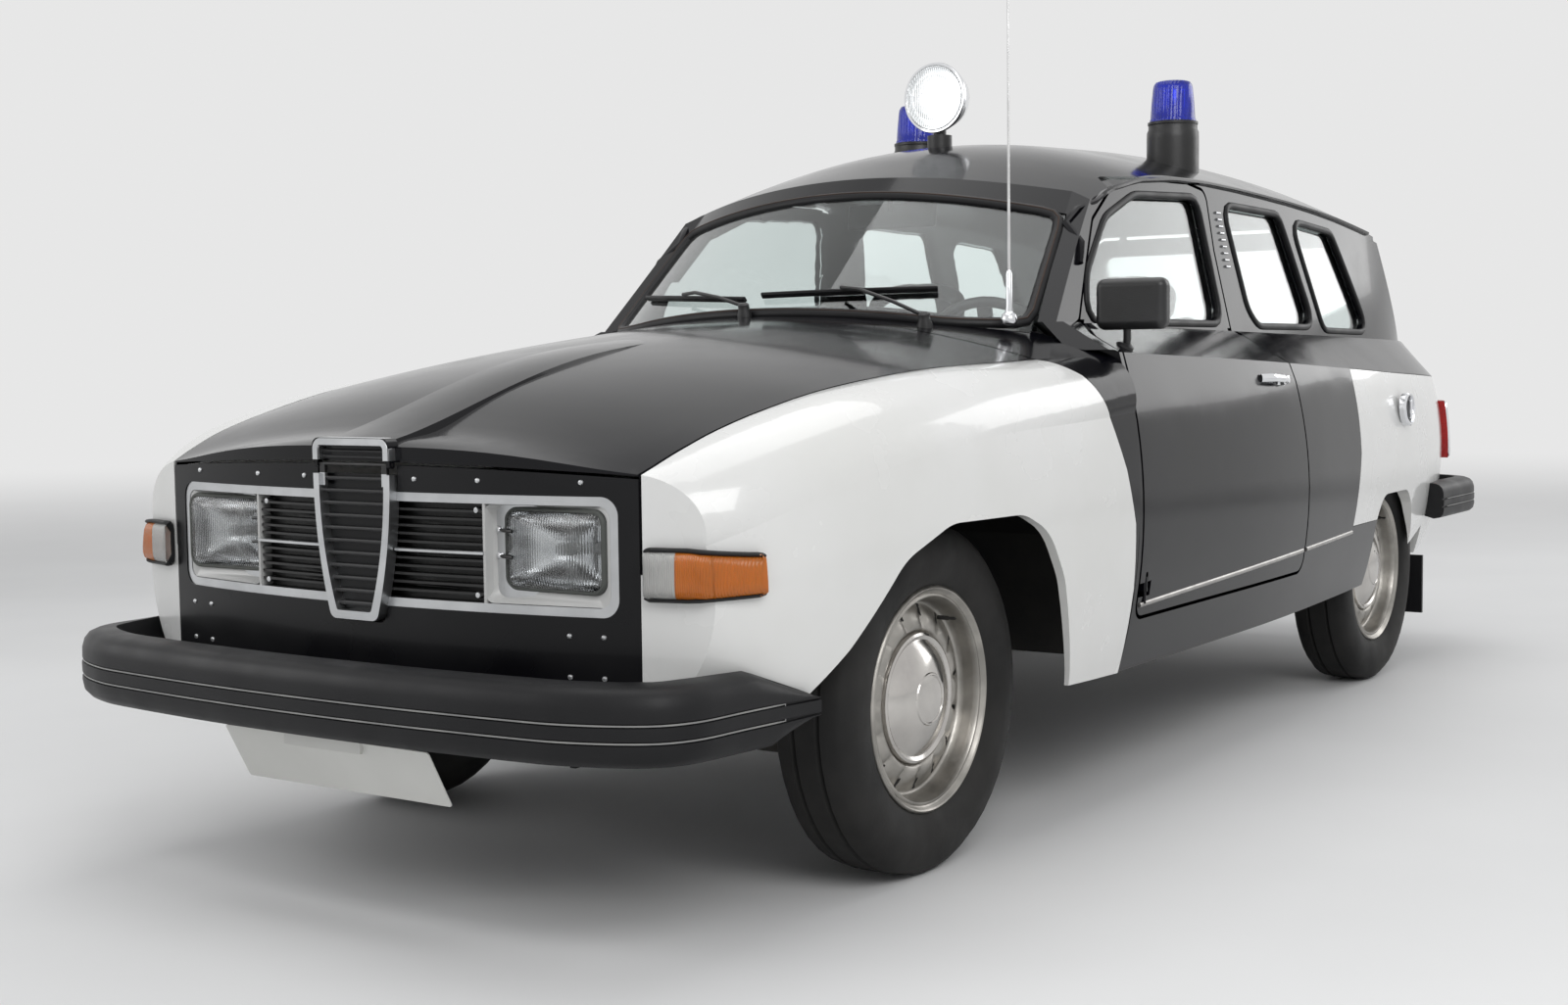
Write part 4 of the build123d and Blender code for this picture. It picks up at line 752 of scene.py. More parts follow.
def make_shield_cap():
    """Bright top of the shield, with its own slats, carried by the hood."""
    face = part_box("hood")[0][1]
    half_bar = shield_frame / 2
    x_out = SHIELD_SIDES[-1][1] - half_bar
    corner = 0.012
    foot, top = 0.7712, 0.8083 - half_bar
    path = [Vector((-x_out, face, foot)), Vector((-x_out, face, top - corner))]
    for k in range(1, 6):
        turn = radians(180 - 15 * k)
        path.append(Vector((-x_out + corner + corner * cos(turn), face, top - corner + corner * sin(turn))))
    path.append(Vector((-x_out + corner, face, top)))
    path += [Vector((-p.x, p.y, p.z)) for p in reversed(path)]
    wide = half_bar + 0.0003
    swept("shield_cap", path, FORWARD, both_sides([(wide, -0.023), (wide, -0.0015), (wide - 0.002, 0.0006)]),
          "bright_silver", "hood")
    for k, z in enumerate((0.776, 0.786)):
        make_slat(f"cap_slat_{k}", x_out - half_bar + 0.0005, face + 0.010, z, "hood")


def make_nose_trim():
    """Rivets along the panel above the grille and at its lower corners."""
    spots = [(x, 0.742) for x in (-0.45, -0.26, -0.13, 0.13, 0.26, 0.45)]
    spots += [(side * x, z) for side in SIDES for x in (0.425, 0.485) for z in (0.435, 0.500)]
    for k, (x, z) in enumerate(spots):
        turned(f"nose_rivet_{k}", RIVET, (x, nose_y(x), z), FORWARD, "bright_silver", segments=14)


indicator_pivot = Vector((0.575, -0.585, 0.0))
# Name, start and end along the lens, and finish
INDICATOR_PARTS = (("clear", 0.0, 0.33, "indicator_clear"), ("amber_inner", 0.33, 0.62, "indicator_amber"),
                   ("amber_outer", 0.62, 1.0, "indicator_amber"))
# Share of the lens's height, and how far its face lies below the solid there
INDICATOR_ROWS = ((0.0, 0.016), (0.02, 0.008), (0.08, 0.003), (0.2, 0.0005), (0.35, 0.0), (0.5, 0.0),
                  (0.65, 0.0), (0.8, 0.0005), (0.92, 0.003), (0.98, 0.008), (1.0, 0.016))


def make_indicator(side):
    """Wrap-round lens with a clear and two amber parts, and the gasket behind it."""
    word = SIDES[side]
    tree = surface("indicators")
    low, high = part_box("indicators")
    columns = 44
    turns = [radians(-98 + 102 * k / (columns - 1)) for k in range(columns)]
    ways = [Vector((cos(turn), sin(turn), 0)) for turn in turns]

    def height(k, share):
        taper = max(0.0, (k / (columns - 1) - 0.45) / 0.55)
        foot = low[2] + 0.002 + 0.007 * taper
        return foot + (high[2] - 0.002 - 0.009 * taper - foot) * share

    def hit(k, share):
        level = Vector((0, 0, height(k, min(max(share, 0.03), 0.97))))
        return cast(tree, indicator_pivot + level + ways[k] * 0.6, -ways[k])

    rows = [[hit(k, share) for k in range(columns)] for share, _ in INDICATOR_ROWS]
    good = [k for k in range(columns) if all(row[k][0] is not None for row in rows)]
    first, last = good[0], good[-1]
    span = last - first
    for part, start, stop, material in INDICATOR_PARTS:
        ks = [k for k in good if start * span - 0.5 <= k - first <= stop * span + 0.5]
        points = []
        for row, (share, inset) in zip(rows, INDICATOR_ROWS):
            for k in ks:
                place, normal = row[k]
                end = 0.010 if k in (first, last) else 0.003 if k in (first + 1, last - 1) else 0.0
                spot = place - normal * max(inset, end)
                points.append((side * spot.x, spot.y, height(k, share)))
        faces = grid_faces(len(rows), len(ks))
        thickened(new_piece(f"indicator_{part}_{word}", points, faces, material, angle=60), 0.003, -side)
    middle = range(3, len(rows) - 3)
    edge = [(k, 0) for k in good[1:-1]] + [(last, j) for j in middle]
    edge += [(k, len(rows) - 1) for k in reversed(good[1:-1])] + [(first, j) for j in reversed(middle)]
    path, normals = [], []
    for k, j in edge:
        spot = rows[5][k][0] - ways[k] * 0.012
        path.append(Vector((side * spot.x, spot.y, height(k, INDICATOR_ROWS[j][0]))))
        normals.append(Vector((side * ways[k].x, ways[k].y, 0)))
    gasket = swept(f"indicator_gasket_{word}", path, normals, round_section(0.0042, 10, 1.8), "bumper_rubber",
                   closed=True)
    if side > 0:
        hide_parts("indicators")


# Bumpers: section, plan lines of the outer faces, and heights of the pad's edges in the section

BUMPER = [(-0.062, 0.012), (-0.030, 0.002), (-0.012, 0.006), (-0.003, 0.016), (0.0, 0.032),
          (-0.0005, 0.040), (-0.005, 0.0415), (-0.005, 0.0455), (-0.0005, 0.047), (0.0, 0.062),
          (-0.0005, 0.0665), (-0.005, 0.068), (-0.005, 0.072), (-0.001, 0.0735), (-0.0015, 0.092),
          (-0.006, 0.108), (-0.014, 0.118), (-0.028, 0.124), (-0.062, 0.126)]
FRONT_BAR = ((0.0, -0.893), (0.131, -0.8915), (0.262, -0.886), (0.400, -0.876), (0.524, -0.864),
             (0.608, -0.836), (0.680, -0.795), (0.711, -0.735), (0.718, -0.640), (0.732, -0.536),
             (0.745, -0.465))
REAR_BAR = ((0.0, 3.395), (0.2, 3.390), (0.4, 3.375), (0.600, 3.350), (0.690, 3.310), (0.742, 3.250),
            (0.760, 3.190), (0.760, 3.050), (0.760, 2.860))
PAD = (0.0435, 0.0700)
section_height = 0.128
# Where the bright lines end on the front bumper's sides and start on the rear one's
front_lines_end = -0.536
rear_lines_start = 2.90
# Y, then Z, of the brackets behind each bumper
BRACKETS = ((-0.84, -0.68, 0.350, 0.375), (3.2526, 3.34, 0.470, 0.500))


def shoulder(up, foot, top, low, high):
    """Height of a point of the section: the pad stays level while foot and top draw in at the ends."""
    z, pad_foot, pad_top = (low + (high - low) * place / section_height for place in (up, *PAD))
    if z > pad_top:
        return pad_top + (z - pad_top) * max(0.03, (top - pad_top) / (high - pad_top))
    if z < pad_foot:
        return pad_foot - (pad_foot - z) * max(0.03, (pad_foot - foot) / (pad_foot - low))
    return z


def bar_path(half):
    """Plan line of a bumper's outer face from one end to the other, evenly spaced."""
    line = [Vector((-x, y)) for x, y in reversed(half)] + [Vector(p) for p in half[1:]]
    return smoothed(spaced(line, 0.02, closed=False), 3, closed=False)


def ramp(y, start, length):
    """Share of the way through a stretch of the bumper's side, from 0 to 1."""
    return min(1.0, max(0.0, (y - start) / length))


def front_limits(y):
    """Foot, top and depth of the front bumper, which tapers towards its ends."""
    low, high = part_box("front_bumper")
    foot = low[2] + 0.045 * ramp(y, -0.565, 0.100)
    return foot, high[2] - 0.056 * ramp(y, -0.600, 0.135), 0.062 - 0.044 * ramp(y, -0.720, 0.220)


def rear_limits(y):
    """Foot, top and depth of the rear bumper, the same all along."""
    low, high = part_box("rear_bumper")
    return low[2], high[2], 0.060


def make_bumper(word, half, limits, lined):
    """Moulded bar with a flat pad between two bright lines in its face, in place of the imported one."""
    path = bar_path(half)
    normals, rows, lines = [], [], ([], [])
    low, high = limits(path[len(path) // 2].y)[:2]
    for i, p in enumerate(path):
        step = path[min(len(path) - 1, i + 1)] - path[max(0, i - 1)]
        normal = Vector((0, 0, 1)).cross(Vector((step.x, step.y, 0)).normalized())
        if normal.dot(Vector((p.x, p.y - 1.25, 0))) < 0:
            normal = -normal
        normals.append(normal)
        foot, top, depth = limits(p.y)
        place = Vector((p.x, p.y, 0))
        rows += [place + normal * max(out, -depth) + Vector((0, 0, shoulder(up, foot, top, low, high)))
                 for out, up in BUMPER]
        for line, up in zip(lines, PAD):
            line.append(place - normal * 0.0035 + Vector((0, 0, low + (high - low) * up / section_height)))
    bar = new_piece(f"bumper_{word}_bar", rows, tube_faces(len(path), len(BUMPER), False), "bumper_rubber",
                    angle=40)
    inside = [i for i, p in enumerate(path) if lined(p.y)]
    loop = [lines[0][i] for i in inside] + [lines[1][i] for i in reversed(inside)]
    ways = [normals[i] for i in inside + inside[::-1]]
    swept(f"bumper_{word}_bar_line", loop, ways, both_sides([(0.0013, -0.001), (0.0013, 0.0014)]),
          "line_grey", closed=True)
    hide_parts(f"{word}_bumper")


def make_bumpers():
    """Front and rear bumpers and their brackets."""
    make_bumper("front", FRONT_BAR, front_limits, lambda y: y < front_lines_end)
    make_bumper("rear", REAR_BAR, rear_limits, lambda y: y > rear_lines_start)
    for k, (y_low, y_high, z_low, z_high) in enumerate(BRACKETS):
        for side in SIDES:
            x_low, x_high = sorted((side * 0.280, side * 0.320))
            brick(f"bumper_bracket_{k}_{side + 1}", (x_low, y_low, z_low), (x_high, y_high, z_high),
                  "chassis_black")


# Roof fittings

BEACON_BASE = [(0.066, -0.146), (0.0655, -0.130), (0.062, -0.122), (0.062, -0.112), (0.0635, -0.110),
               (0.0635, -0.104), (0.058, -0.102), (0.040, -0.102)]
BEACON_LENS = [(0.050, -0.104), (0.0585, -0.104), (0.0585, -0.098), (0.0565, -0.094), (0.0545, -0.060),
               (0.0505, -0.020), (0.0485, -0.010), (0.0440, -0.003), (0.036, 0.0), (0.020, 0.0), (0.001, 0.0)]
BEACON_MIRROR = [(0.024, -0.102), (0.026, -0.050), (0.022, -0.024), (0.001, -0.022)]


def make_beacons():
    """Two blue lenses on stepped black bases, with a mirror inside."""
    low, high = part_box("beacons")
    x, y, top = high[0] - 0.066, (low[1] + high[1]) / 2, high[2]
    depth = low[2] - 0.01 - top
    for side, word in SIDES.items():
        place = (side * x, y, top)
        turned(f"beacon_base_{word}", [(0.040, depth), (0.066, depth)] + BEACON_BASE, place, UPWARD,
               "black_plastic", segments=56)
        shell = turned(f"beacon_lens_{word}", BEACON_LENS, place, UPWARD, "beacon_blue", segments=56)
        turned(f"beacon_mirror_{word}", BEACON_MIRROR, place, UPWARD, "chrome_trim", segments=32)
    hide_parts("beacons")


# Each turned part of the search lamp: profile, finish and segments
SEARCHLIGHT = {
    "shell": ([(0.070, 0.004), (0.0835, 0.002), (0.0855, 0.008), (0.0840, 0.014), (0.0800, 0.016),
               (0.0780, 0.030), (0.0700, 0.055), (0.0560, 0.076), (0.0380, 0.090), (0.0180, 0.096),
               (0.001, 0.097)],
              "bright_chrome", 64),
    "reflector": ([(0.076, 0.005), (0.068, 0.022), (0.052, 0.040), (0.030, 0.052), (0.010, 0.056)],
                  "lamp_mirror", 64),
    "bulb": ([(0.009, 0.055), (0.010, 0.040), (0.008, 0.030), (0.001, 0.026)], "lamp_bowl", 20),
    "glass": ([(0.076, 0.006), (0.077, 0.002), (0.070, -0.002), (0.050, -0.007), (0.025, -0.010),
               (0.001, -0.011)], "lamp_glass", 64),
}


def make_searchlight():
    """Chrome lamp on a swivel, with its glass, reflector and bulb."""
    low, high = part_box("searchlight")
    centre = Vector(((low[0] + high[0]) / 2, low[1], high[2] - 0.084))
    made = {part: turned(f"searchlight_{part}", profile, centre, REARWARD, material, "searchlight", segments)
            for part, (profile, material, segments) in SEARCHLIGHT.items()}
    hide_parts("searchlight")
    thickened(made["glass"], 0.002)
    turned("searchlight_stem", [(0.016, 0.0), (0.016, 0.020), (0.013, 0.024), (0.013, 0.040), (0.009, 0.046)],
           (centre.x, 1.215, 1.4703), UPWARD, "black_plastic", "searchlight", 28)
    brick("searchlight_yoke", (centre.x - 0.010, 1.196, 1.486), (centre.x + 0.010, 1.234, 1.512),
          "black_plastic", "searchlight", 0.006)


# Windows, seals and outer trim

DOOR_WINDOW = [(0.800, 1.008), (0.838, 1.102), (0.968, 1.226), (1.130, 1.284), (1.492, 1.300), (1.545, 1.008)]
MID_WINDOW = [(1.668, 1.292), (2.055, 1.288), (2.225, 1.004), (1.800, 1.004), (1.745, 1.044)]
REAR_WINDOW = [(2.158, 1.276), (2.480, 1.260), (2.735, 0.992), (2.318, 0.996)]


def make_window_seals():
    """Rubber beads on the frames round all side windows."""
    for side, word in SIDES.items():
        for part, corners, carrier, body in (("door", DOOR_WINDOW, f"door_{word}", f"door_{word}"),
                                             ("mid", MID_WINDOW, f"side_frame_{word}", "root"),
                                             ("rear", REAR_WINDOW, f"side_frame_{word}", "root")):
            outline = outline_step(smoothed(spaced(rounded_outline(corners, 0.03), 0.02), 1), 0.0075)
            path, normals = on_side((carrier,), outline, side)
            swept(f"{part}_seal_{word}", path, normals, bead_section(0.018, 0.006, 0.006), "bumper_rubber",
                  body, closed=True)


def screen_rays(points):
    """Level rays from in front of the car through (x, z) points."""
    return [((x, -3.0, z), REARWARD) for x, z in points]


def make_windscreen_seal():
    """Rubber seal round the windscreen, laid along the edge of the glass."""
    tree = surface("windscreen")
    low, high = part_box("windscreen")
    middle = (low[2] + high[2]) / 2
    rim = []
    for k in range(96):
        turn = 2 * pi * k / 96
        near, far = 0.0, 0.9
        for _ in range(18):
            reach = (near + far) / 2
            place, _ = cast(tree, (reach * cos(turn), -3.0, middle + reach * sin(turn)), REARWARD)
            near, far = (near, reach) if place is None else (reach, far)
        rim.append(Vector((near * cos(turn), middle + near * sin(turn))))
    rim = outline_step(smoothed(spaced(rim, 0.03), 1), -0.006)
    path, normals = all_cast(tree, screen_rays(rim))
    swept("windscreen_seal", path, normals, bead_section(0.026, 0.010, 0.004), "bumper_rubber", closed=True)
    raised = [p + n * 0.009 for p, n in zip(path, normals)]
    swept("windscreen_bead", raised, normals, bead_section(0.004, 0.0025), "seal_brown", closed=True)


# Pivot, then the (x, z) ends of each wiper's blade
WIPERS = {"right": ((-0.03, 0.425), (-0.46, 1.070), (-0.06, 1.052)),
          "left": ((0.40, 0.455), (-0.02, 1.060), (0.36, 1.066))}
WIPER_PIVOT = [(0.016, -0.01), (0.016, 0.006), (0.012, 0.016), (0.012, 0.026), (0.008, 0.030), (0.001, 0.031)]


def make_wipers():
    """Two wiper arms with blades parked along the foot of the windscreen."""
    section = both_sides([(0.004, -0.006), (0.004, 0.004), (0.0015, 0.007)])
    for word, (pivot, start, stop) in WIPERS.items():
        line = [[a + (b - a) * k / 12 for a, b in zip(start, stop)] for k in range(13)]
        path, normals = all_cast(surface("windscreen"), screen_rays(line))
        blade = [p + n * 0.009 for p, n in zip(path, normals)]
        swept(f"wiper_blade_{word}", blade, normals, section, "bumper_rubber")
        foot, _ = cast(surface("scuttle", "hood"), (*pivot, 3.0), (0, 0, -1))
        middle = len(blade) // 2
        hold = blade[middle] + normals[middle] * 0.012
        arm = [foot + Vector((0, 0, 0.022)), foot.lerp(hold, 0.35) + Vector((0, -0.012, 0.024)),
               foot.lerp(hold, 0.75) + Vector((0, -0.010, 0.016)), hold]
        wire(f"wiper_arm_{word}_screen", arm, 0.0042, "black_plastic")
        turned(f"wiper_pivot_{word}", WIPER_PIVOT, foot, (0, -0.2, 1), "black_plastic", segments=28)


# Y and Z of the sill's bright strip at two places
TRIM_FRONT = (0.41, 0.411)
TRIM_REAR = (2.00, 0.454)
trim_slope = (TRIM_REAR[1] - TRIM_FRONT[1]) / (TRIM_REAR[0] - TRIM_FRONT[0])


def make_side_trim():
    """Bright strip along the door's foot and the sill behind it, door handles and the pillar's louvres."""
    for side, word in SIDES.items():
        for part, carrier, body, start, stop in (("door", f"door_{word}", f"door_{word}", 0.672, 1.650),
                                                 ("sill", f"side_frame_{word}", "root", 1.674, 2.060)):
            spots = [start + (stop - start) * k / 20 for k in range(21)]
            line = [(y, TRIM_FRONT[1] + (y - TRIM_FRONT[0]) * trim_slope) for y in spots]
            swept(f"trim_{part}_{word}", *on_side((carrier,), line, side), bead_section(0.011, 0.004),
                  "line_silver", body)
        for k in range(9):
            y, z = 1.618 + 0.0022 * k, 1.275 - 0.0165 * k
            line = [(y - 0.013, z), (y, z - 0.0005), (y + 0.013, z)]
            swept(f"louvre_{word}_{k}", *on_side((f"side_frame_{word}",), line, side),
                  bead_section(0.0065, 0.005), "chrome_trim")
        make_handle(word, side)


HANDLE_LIFT = [0.002, 0.012, 0.019, 0.022, 0.023, 0.023, 0.023, 0.023, 0.022, 0.019, 0.016, 0.014, 0.006]


def make_handle(word, side):
    """Chrome pull with its two roots and a push button."""
    body = f"door_{word}"
    path, normals = on_side((body,), [(1.400 + 0.160 * k / 12, 0.8705 - 0.008 * k / 12) for k in range(13)],
                            side)
    bar = [p + n * lift for p, n, lift in zip(path, normals, HANDLE_LIFT)]
    pull = swept(f"handle_pull_{word}", bar, normals, round_section(0.0095, 12, 0.6), "bright_chrome", body)
    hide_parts(f"door_handle_{word}")
    turned(f"handle_button_{word}", [(0.013, -0.004), (0.013, 0.012), (0.010, 0.016), (0.009, 0.022),
                                     (0.001, 0.023)],
           path[10], normals[10], "bright_chrome", body, 28)
    swept(f"handle_plate_{word}", path[8:], normals[8:], bead_section(0.026, 0.004), "bright_chrome", body)


def make_mirror():
    """Door mirror: moulded housing, glass and foot."""
    low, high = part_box("door_mirror")
    shell = brick("mirror_shell", (low[0], low[1], 0.9805), (high[0], low[1] + 0.045, high[2]),
                  "black_plastic", "door_left", 0.018, 6)
    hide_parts("door_mirror")
    brick("mirror_glass", (low[0] + 0.012, low[1] + 0.044, 0.992),
          (high[0] - 0.012, low[1] + 0.047, high[2] - 0.012), "bright_chrome", "door_left", 0.001)
    wire("mirror_arm", [(0.722, 0.722, 0.946), (0.726, 0.718, 0.962), (0.728, 0.712, 0.990)], 0.008,
         "black_plastic", "door_left", 12)
    turned("mirror_foot", [(0.020, -0.006), (0.020, 0.004), (0.014, 0.010), (0.001, 0.012)],
           (0.716, 0.724, 0.944), (0.3, 0, 1), "black_plastic", "door_left", 28)


def make_filler():
    """Fuel cap: chrome ring round a dished dark flap with a grip."""
    low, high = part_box("filler_cap")
    x, y, z = high[0] - 0.010, (low[1] + high[1]) / 2, (low[2] + high[2]) / 2
    out = (1, 0, 0.06)
    ring = turned("filler_ring", [(0.047, -0.01), (0.047, 0.004), (0.043, 0.009), (0.038, 0.008),
                                  (0.036, 0.0)],
                  (x, y, z), out, "chrome_trim", loop=True)
    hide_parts("filler_cap")
    turned("filler_flap", [(0.0365, -0.004), (0.036, 0.001), (0.020, 0.004), (0.001, 0.005)], (x, y, z), out,
           "black_plastic", segments=40)
    brick("filler_grip", (x + 0.002, y - 0.005, z - 0.026), (x + 0.012, y + 0.005, z + 0.026), "chrome_trim")


ANTENNA_FOOT = [(0.009, 0.0), (0.016, 0.004), (0.018, 0.012), (0.015, 0.022), (0.008, 0.028),
                (0.0065, 0.040), (0.0065, 0.105), (0.004, 0.112)]


def make_antenna():
    """Whip on a chrome ball foot."""
    low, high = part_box("antenna")
    x, y = (low[0] + high[0]) / 2, (low[1] + high[1]) / 2
    length = high[2] - low[2]
    foot = turned("antenna_foot", ANTENNA_FOOT, (x, y, low[2] + 0.02), UPWARD, "chrome_trim", segments=28)
    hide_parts("antenna")
    turned("antenna_whip", [(0.0032, 0.0), (0.0026, 0.35), (0.0018, length - 0.131), (0.0030, length - 0.130),
                            (0.0030, length - 0.126), (0.001, length - 0.125)], (x, y, low[2] + 0.125),
           UPWARD, "antenna_steel", segments=10)


DRIP_RAIL = [(0.80, 1.130), (0.86, 1.243), (1.00, 1.300), (1.165, 1.331), (1.35, 1.346), (1.55, 1.350),
             (1.75, 1.347), (1.95, 1.341), (2.15, 1.334), (2.35, 1.324), (2.52, 1.313), (2.70, 1.298),
             (2.84, 1.286)]
GUTTER = [(0.006, -0.004), (0.006, 0.004), (0.003, 0.010), (-0.002, 0.011), (-0.006, 0.006), (-0.006, -0.004)]


def make_drip_rails():
    """Gutter over each side's doors and windows."""
    even = spaced([Vector(p) for p in DRIP_RAIL], 0.05, closed=False)
    for side, word in SIDES.items():
        path, _ = on_side(("roof", f"side_frame_{word}"), [(p.x, p.y - 0.006) for p in even], side)
        swept(f"drip_rail_{word}", path, Vector((side, 0, 0.15)), GUTTER, "body_black")


def make_tail():
    """Rear lamps' rims, tailgate handle, and the exhaust's tip."""
    low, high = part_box("tail_lamps")
    corners = rectangle(low[1] + 0.006, high[1] - 0.03, low[2] + 0.006, high[2] - 0.006)
    outline = spaced(rounded_outline(corners, 0.012), 0.012)
    for side, word in SIDES.items():
        swept(f"tail_trim_{word}", *on_side(("tail_lamps",), outline, side), bead_section(0.008, 0.006),
              "chrome_trim", closed=True)
    brick("tailgate_handle", (-0.07, 3.205, 0.735), (0.07, 3.232, 0.765), "chrome_trim", "tailgate", 0.008, 5)
    turned("exhaust_tip", [(0.021, 0.0), (0.026, 0.0), (0.026, 0.09), (0.0235, 0.092), (0.022, 0.085),
                           (0.021, 0.02)],
           (-0.2, 3.170, 0.26), REARWARD, "exhaust_steel", segments=32, loop=True)


# Cabin

cloth_pressure = 4.0
cloth_frames = 20


def settled(piece):
    """Mesh of a piece with its modifiers applied."""
    shown = piece.evaluated_get(bpy.context.evaluated_depsgraph_get())
    return bpy.data.meshes.new_from_object(shown)


def stuffed(size, swell, cap, voxel=0.010):
    """Points and faces of a pad: a rounded block, remeshed and swollen by cloth simulation under pressure."""
    half = Vector(size) / 2 - Vector((swell, swell, swell))
    mesh = bpy.data.meshes.new("pad_block")
    mesh.from_pydata([tuple(q) for q in block_points(half)], [], BLOCK_FACES)
    block = placed("pad_block", mesh)
    round_off = block.modifiers.new("round", "BEVEL")
    round_off.width = min(0.035, 0.4 * min(half))
    round_off.segments = 5
    remesh = block.modifiers.new("remesh", "REMESH")
    remesh.mode = "VOXEL"
    remesh.voxel_size = voxel
    start = settled(block)
    moved = [v.co.copy() for v in start.vertices]
    block.modifiers.clear()
    block.data = start
    simulation = block.modifiers.new("cloth", "CLOTH")
    simulation.settings.use_pressure = True
    simulation.settings.uniform_pressure_force = cloth_pressure
    simulation.settings.effector_weights.gravity = 0.0
    simulation.settings.quality = 5
    simulation.point_cache.frame_start = 1
    simulation.point_cache.frame_end = cloth_frames
    for step in range(1, cloth_frames + 1):
        bpy.context.scene.frame_set(step)
    for k, after in enumerate(settled(block).vertices):
        way = after.co - moved[k]
        moved[k] = moved[k] + way * min(1.0, cap / max(way.length, 1e-9))
    bpy.context.scene.frame_set(1)
    polygons = [tuple(f.vertices) for f in start.polygons]
    bpy.data.objects.remove(block)
    return moved, polygons


def fitted(points, size):
    """Pad scaled gently so that it just fills its room."""
    ends = [(min(q[i] for q in points), max(q[i] for q in points)) for i in range(3)]
    return [Vector([(q[i] - (low + high) / 2) * (size[i] / (high - low))
                    for i, (low, high) in enumerate(ends)])
            for q in points]


def channelled(points, size, seams, depth=0.011, width=0.011):
    """Sewn channels pressed into the upper face; each seam is an axis and a place along it."""
    out = []
    for q in points:
        sink = 0.0
        for axis, place in seams:
            other = 1 - axis
            edge = max(0.0, 1 - (abs(q[other]) / (0.46 * size[other])) ** 8)
            sink = max(sink, depth * edge * exp(-((q[axis] - place) / width) ** 2))
        upper = min(1.0, max(0.0, q.z / (0.3 * size[2])))
        out.append(Vector((q.x, q.y, q.z - sink * upper)))
    return out


def make_pad(name, data, size, placing, seams):
    """Cushion in its place, with piping sewn round its upper face."""
    points, faces = data
    points = channelled(fitted(points, size), size, seams)
    tree = BVHTree.FromPolygons(points, [list(f) for f in faces])
    x, y = size[0] / 2 - 0.026, size[1] / 2 - 0.026
    ring = smoothed(spaced(rounded_outline(rectangle(-x, x, -y, y), 0.050), 0.012), 2)
    path, normals = all_cast(tree, [((q.x, q.y, 1.0), (0, 0, -1)) for q in ring])
    pad = new_piece(name, [placing @ q for q in points], faces, "seat_cloth", angle=80)
    finer = pad.modifiers.new("finer", "SUBSURF")
    finer.levels = finer.render_levels = 1
    turn = placing.to_3x3()
    swept(f"{name}_piping", [placing @ p for p in path], [turn @ n for n in normals],
          round_section(0.0038, 8), "seat_piping", closed=True, angle=80)
    return pad


def level(tilt, place):
    """Placing of a cushion, tipped a little."""
    return Matrix.Translation(place) @ Matrix.Rotation(radians(tilt), 4, "X")


def upright(lean, place):
    """Placing of a backrest: its face looks forward and a little up."""
    turn = Matrix(((1, 0, 0), (0, sin(lean), -cos(lean)), (0, cos(lean), sin(lean))))
    return Matrix.Translation(place) @ turn.to_4x4()


seat_lean = radians(19)
seat_x = 0.300
CUSHION = (0.436, 0.474, 0.135)
BACKREST = (0.430, 0.500, 0.090)
BENCH_CUSHION = (1.030, 0.345, 0.130)
BENCH_BACKREST = (1.030, 0.400, 0.080)
BENCH_SEAMS = ((0, 0.0), (0, -0.17), (0, 0.17), (0, -0.34), (0, 0.34))


def make_headrest(word, foot):
    """Padded loop on a backrest's top."""
    way = Vector((0, sin(seat_lean), cos(seat_lean)))
    loop = []
    for k in range(40):
        turn = 2 * pi * k / 40
        square = 1 + 0.12 * abs(sin(2 * turn))
        across = Vector((0.125 * cos(turn) * square, 0, 0))
        loop.append(foot + across + way * (0.060 + 0.052 * sin(turn) * square))
    swept(f"headrest_{word}", loop, Vector((0, -cos(seat_lean), sin(seat_lean))),
          round_section(0.021, 12, 0.9), "seat_cloth", closed=True, angle=80)


def make_seats():
    """Front seats with looped headrests, and the rear bench, all sewn and stuffed."""
    base, back = stuffed(CUSHION, 0.014, 0.026), stuffed(BACKREST, 0.012, 0.022)
    for side, word in SIDES.items():
        x = side * seat_x
        cushion = make_pad(f"seat_cushion_{word}", base, CUSHION, level(-2, (x, 1.178, 0.490)),
                           ((0, -0.085), (0, 0.085), (1, 0.120)))
        backrest = make_pad(f"seat_backrest_{word}", back, BACKREST, upright(seat_lean, (x, 1.503, 0.780)),
                            ((0, -0.085), (0, 0.085), (1, -0.130)))
        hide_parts("front_seats")
        brick(f"seat_base_{word}", (x - 0.185, 0.985, 0.3305), (x + 0.185, 1.375, 0.425), "black_plastic",
              radius=0.012)
        make_headrest(word, Vector((x, 1.580, 1.000)))
        wire(f"seat_hinge_{word}", [(x - 0.214, 1.400, 0.500), (x + 0.214, 1.400, 0.500)], 0.014,
             "black_plastic", count=14)
    cushion = make_pad("bench_cushion", stuffed(BENCH_CUSHION, 0.014, 0.026, 0.013), BENCH_CUSHION,
                       level(-3, (0, 1.892, 0.520)), BENCH_SEAMS)
    make_pad("bench_backrest", stuffed(BENCH_BACKREST, 0.011, 0.022, 0.013), BENCH_BACKREST,
             upright(radians(15), (0, 2.140, 0.780)), BENCH_SEAMS)
    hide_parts("rear_bench")
    brick("bench_base", (-0.500, 1.760, 0.3305), (0.500, 2.060, 0.455), "black_plastic", radius=0.012)


DIAL_RING = [(0.032, -0.006), (0.034, 0.001), (0.031, 0.003), (0.029, 0.001)]
DIAL_FACE = [(0.031, -0.004), (0.030, 0.0005), (0.005, 0.0005), (0.004, 0.002), (0.001, 0.002)]
SWITCH = [(0.010, -0.002), (0.010, 0.012), (0.012, 0.016), (0.011, 0.021), (0.001, 0.022)]
VENT = [(0.030, -0.004), (0.032, 0.002), (0.029, 0.006), (0.024, 0.003), (0.001, 0.0)]
inner_mirror = Vector((0.0, 0.985, 1.262))


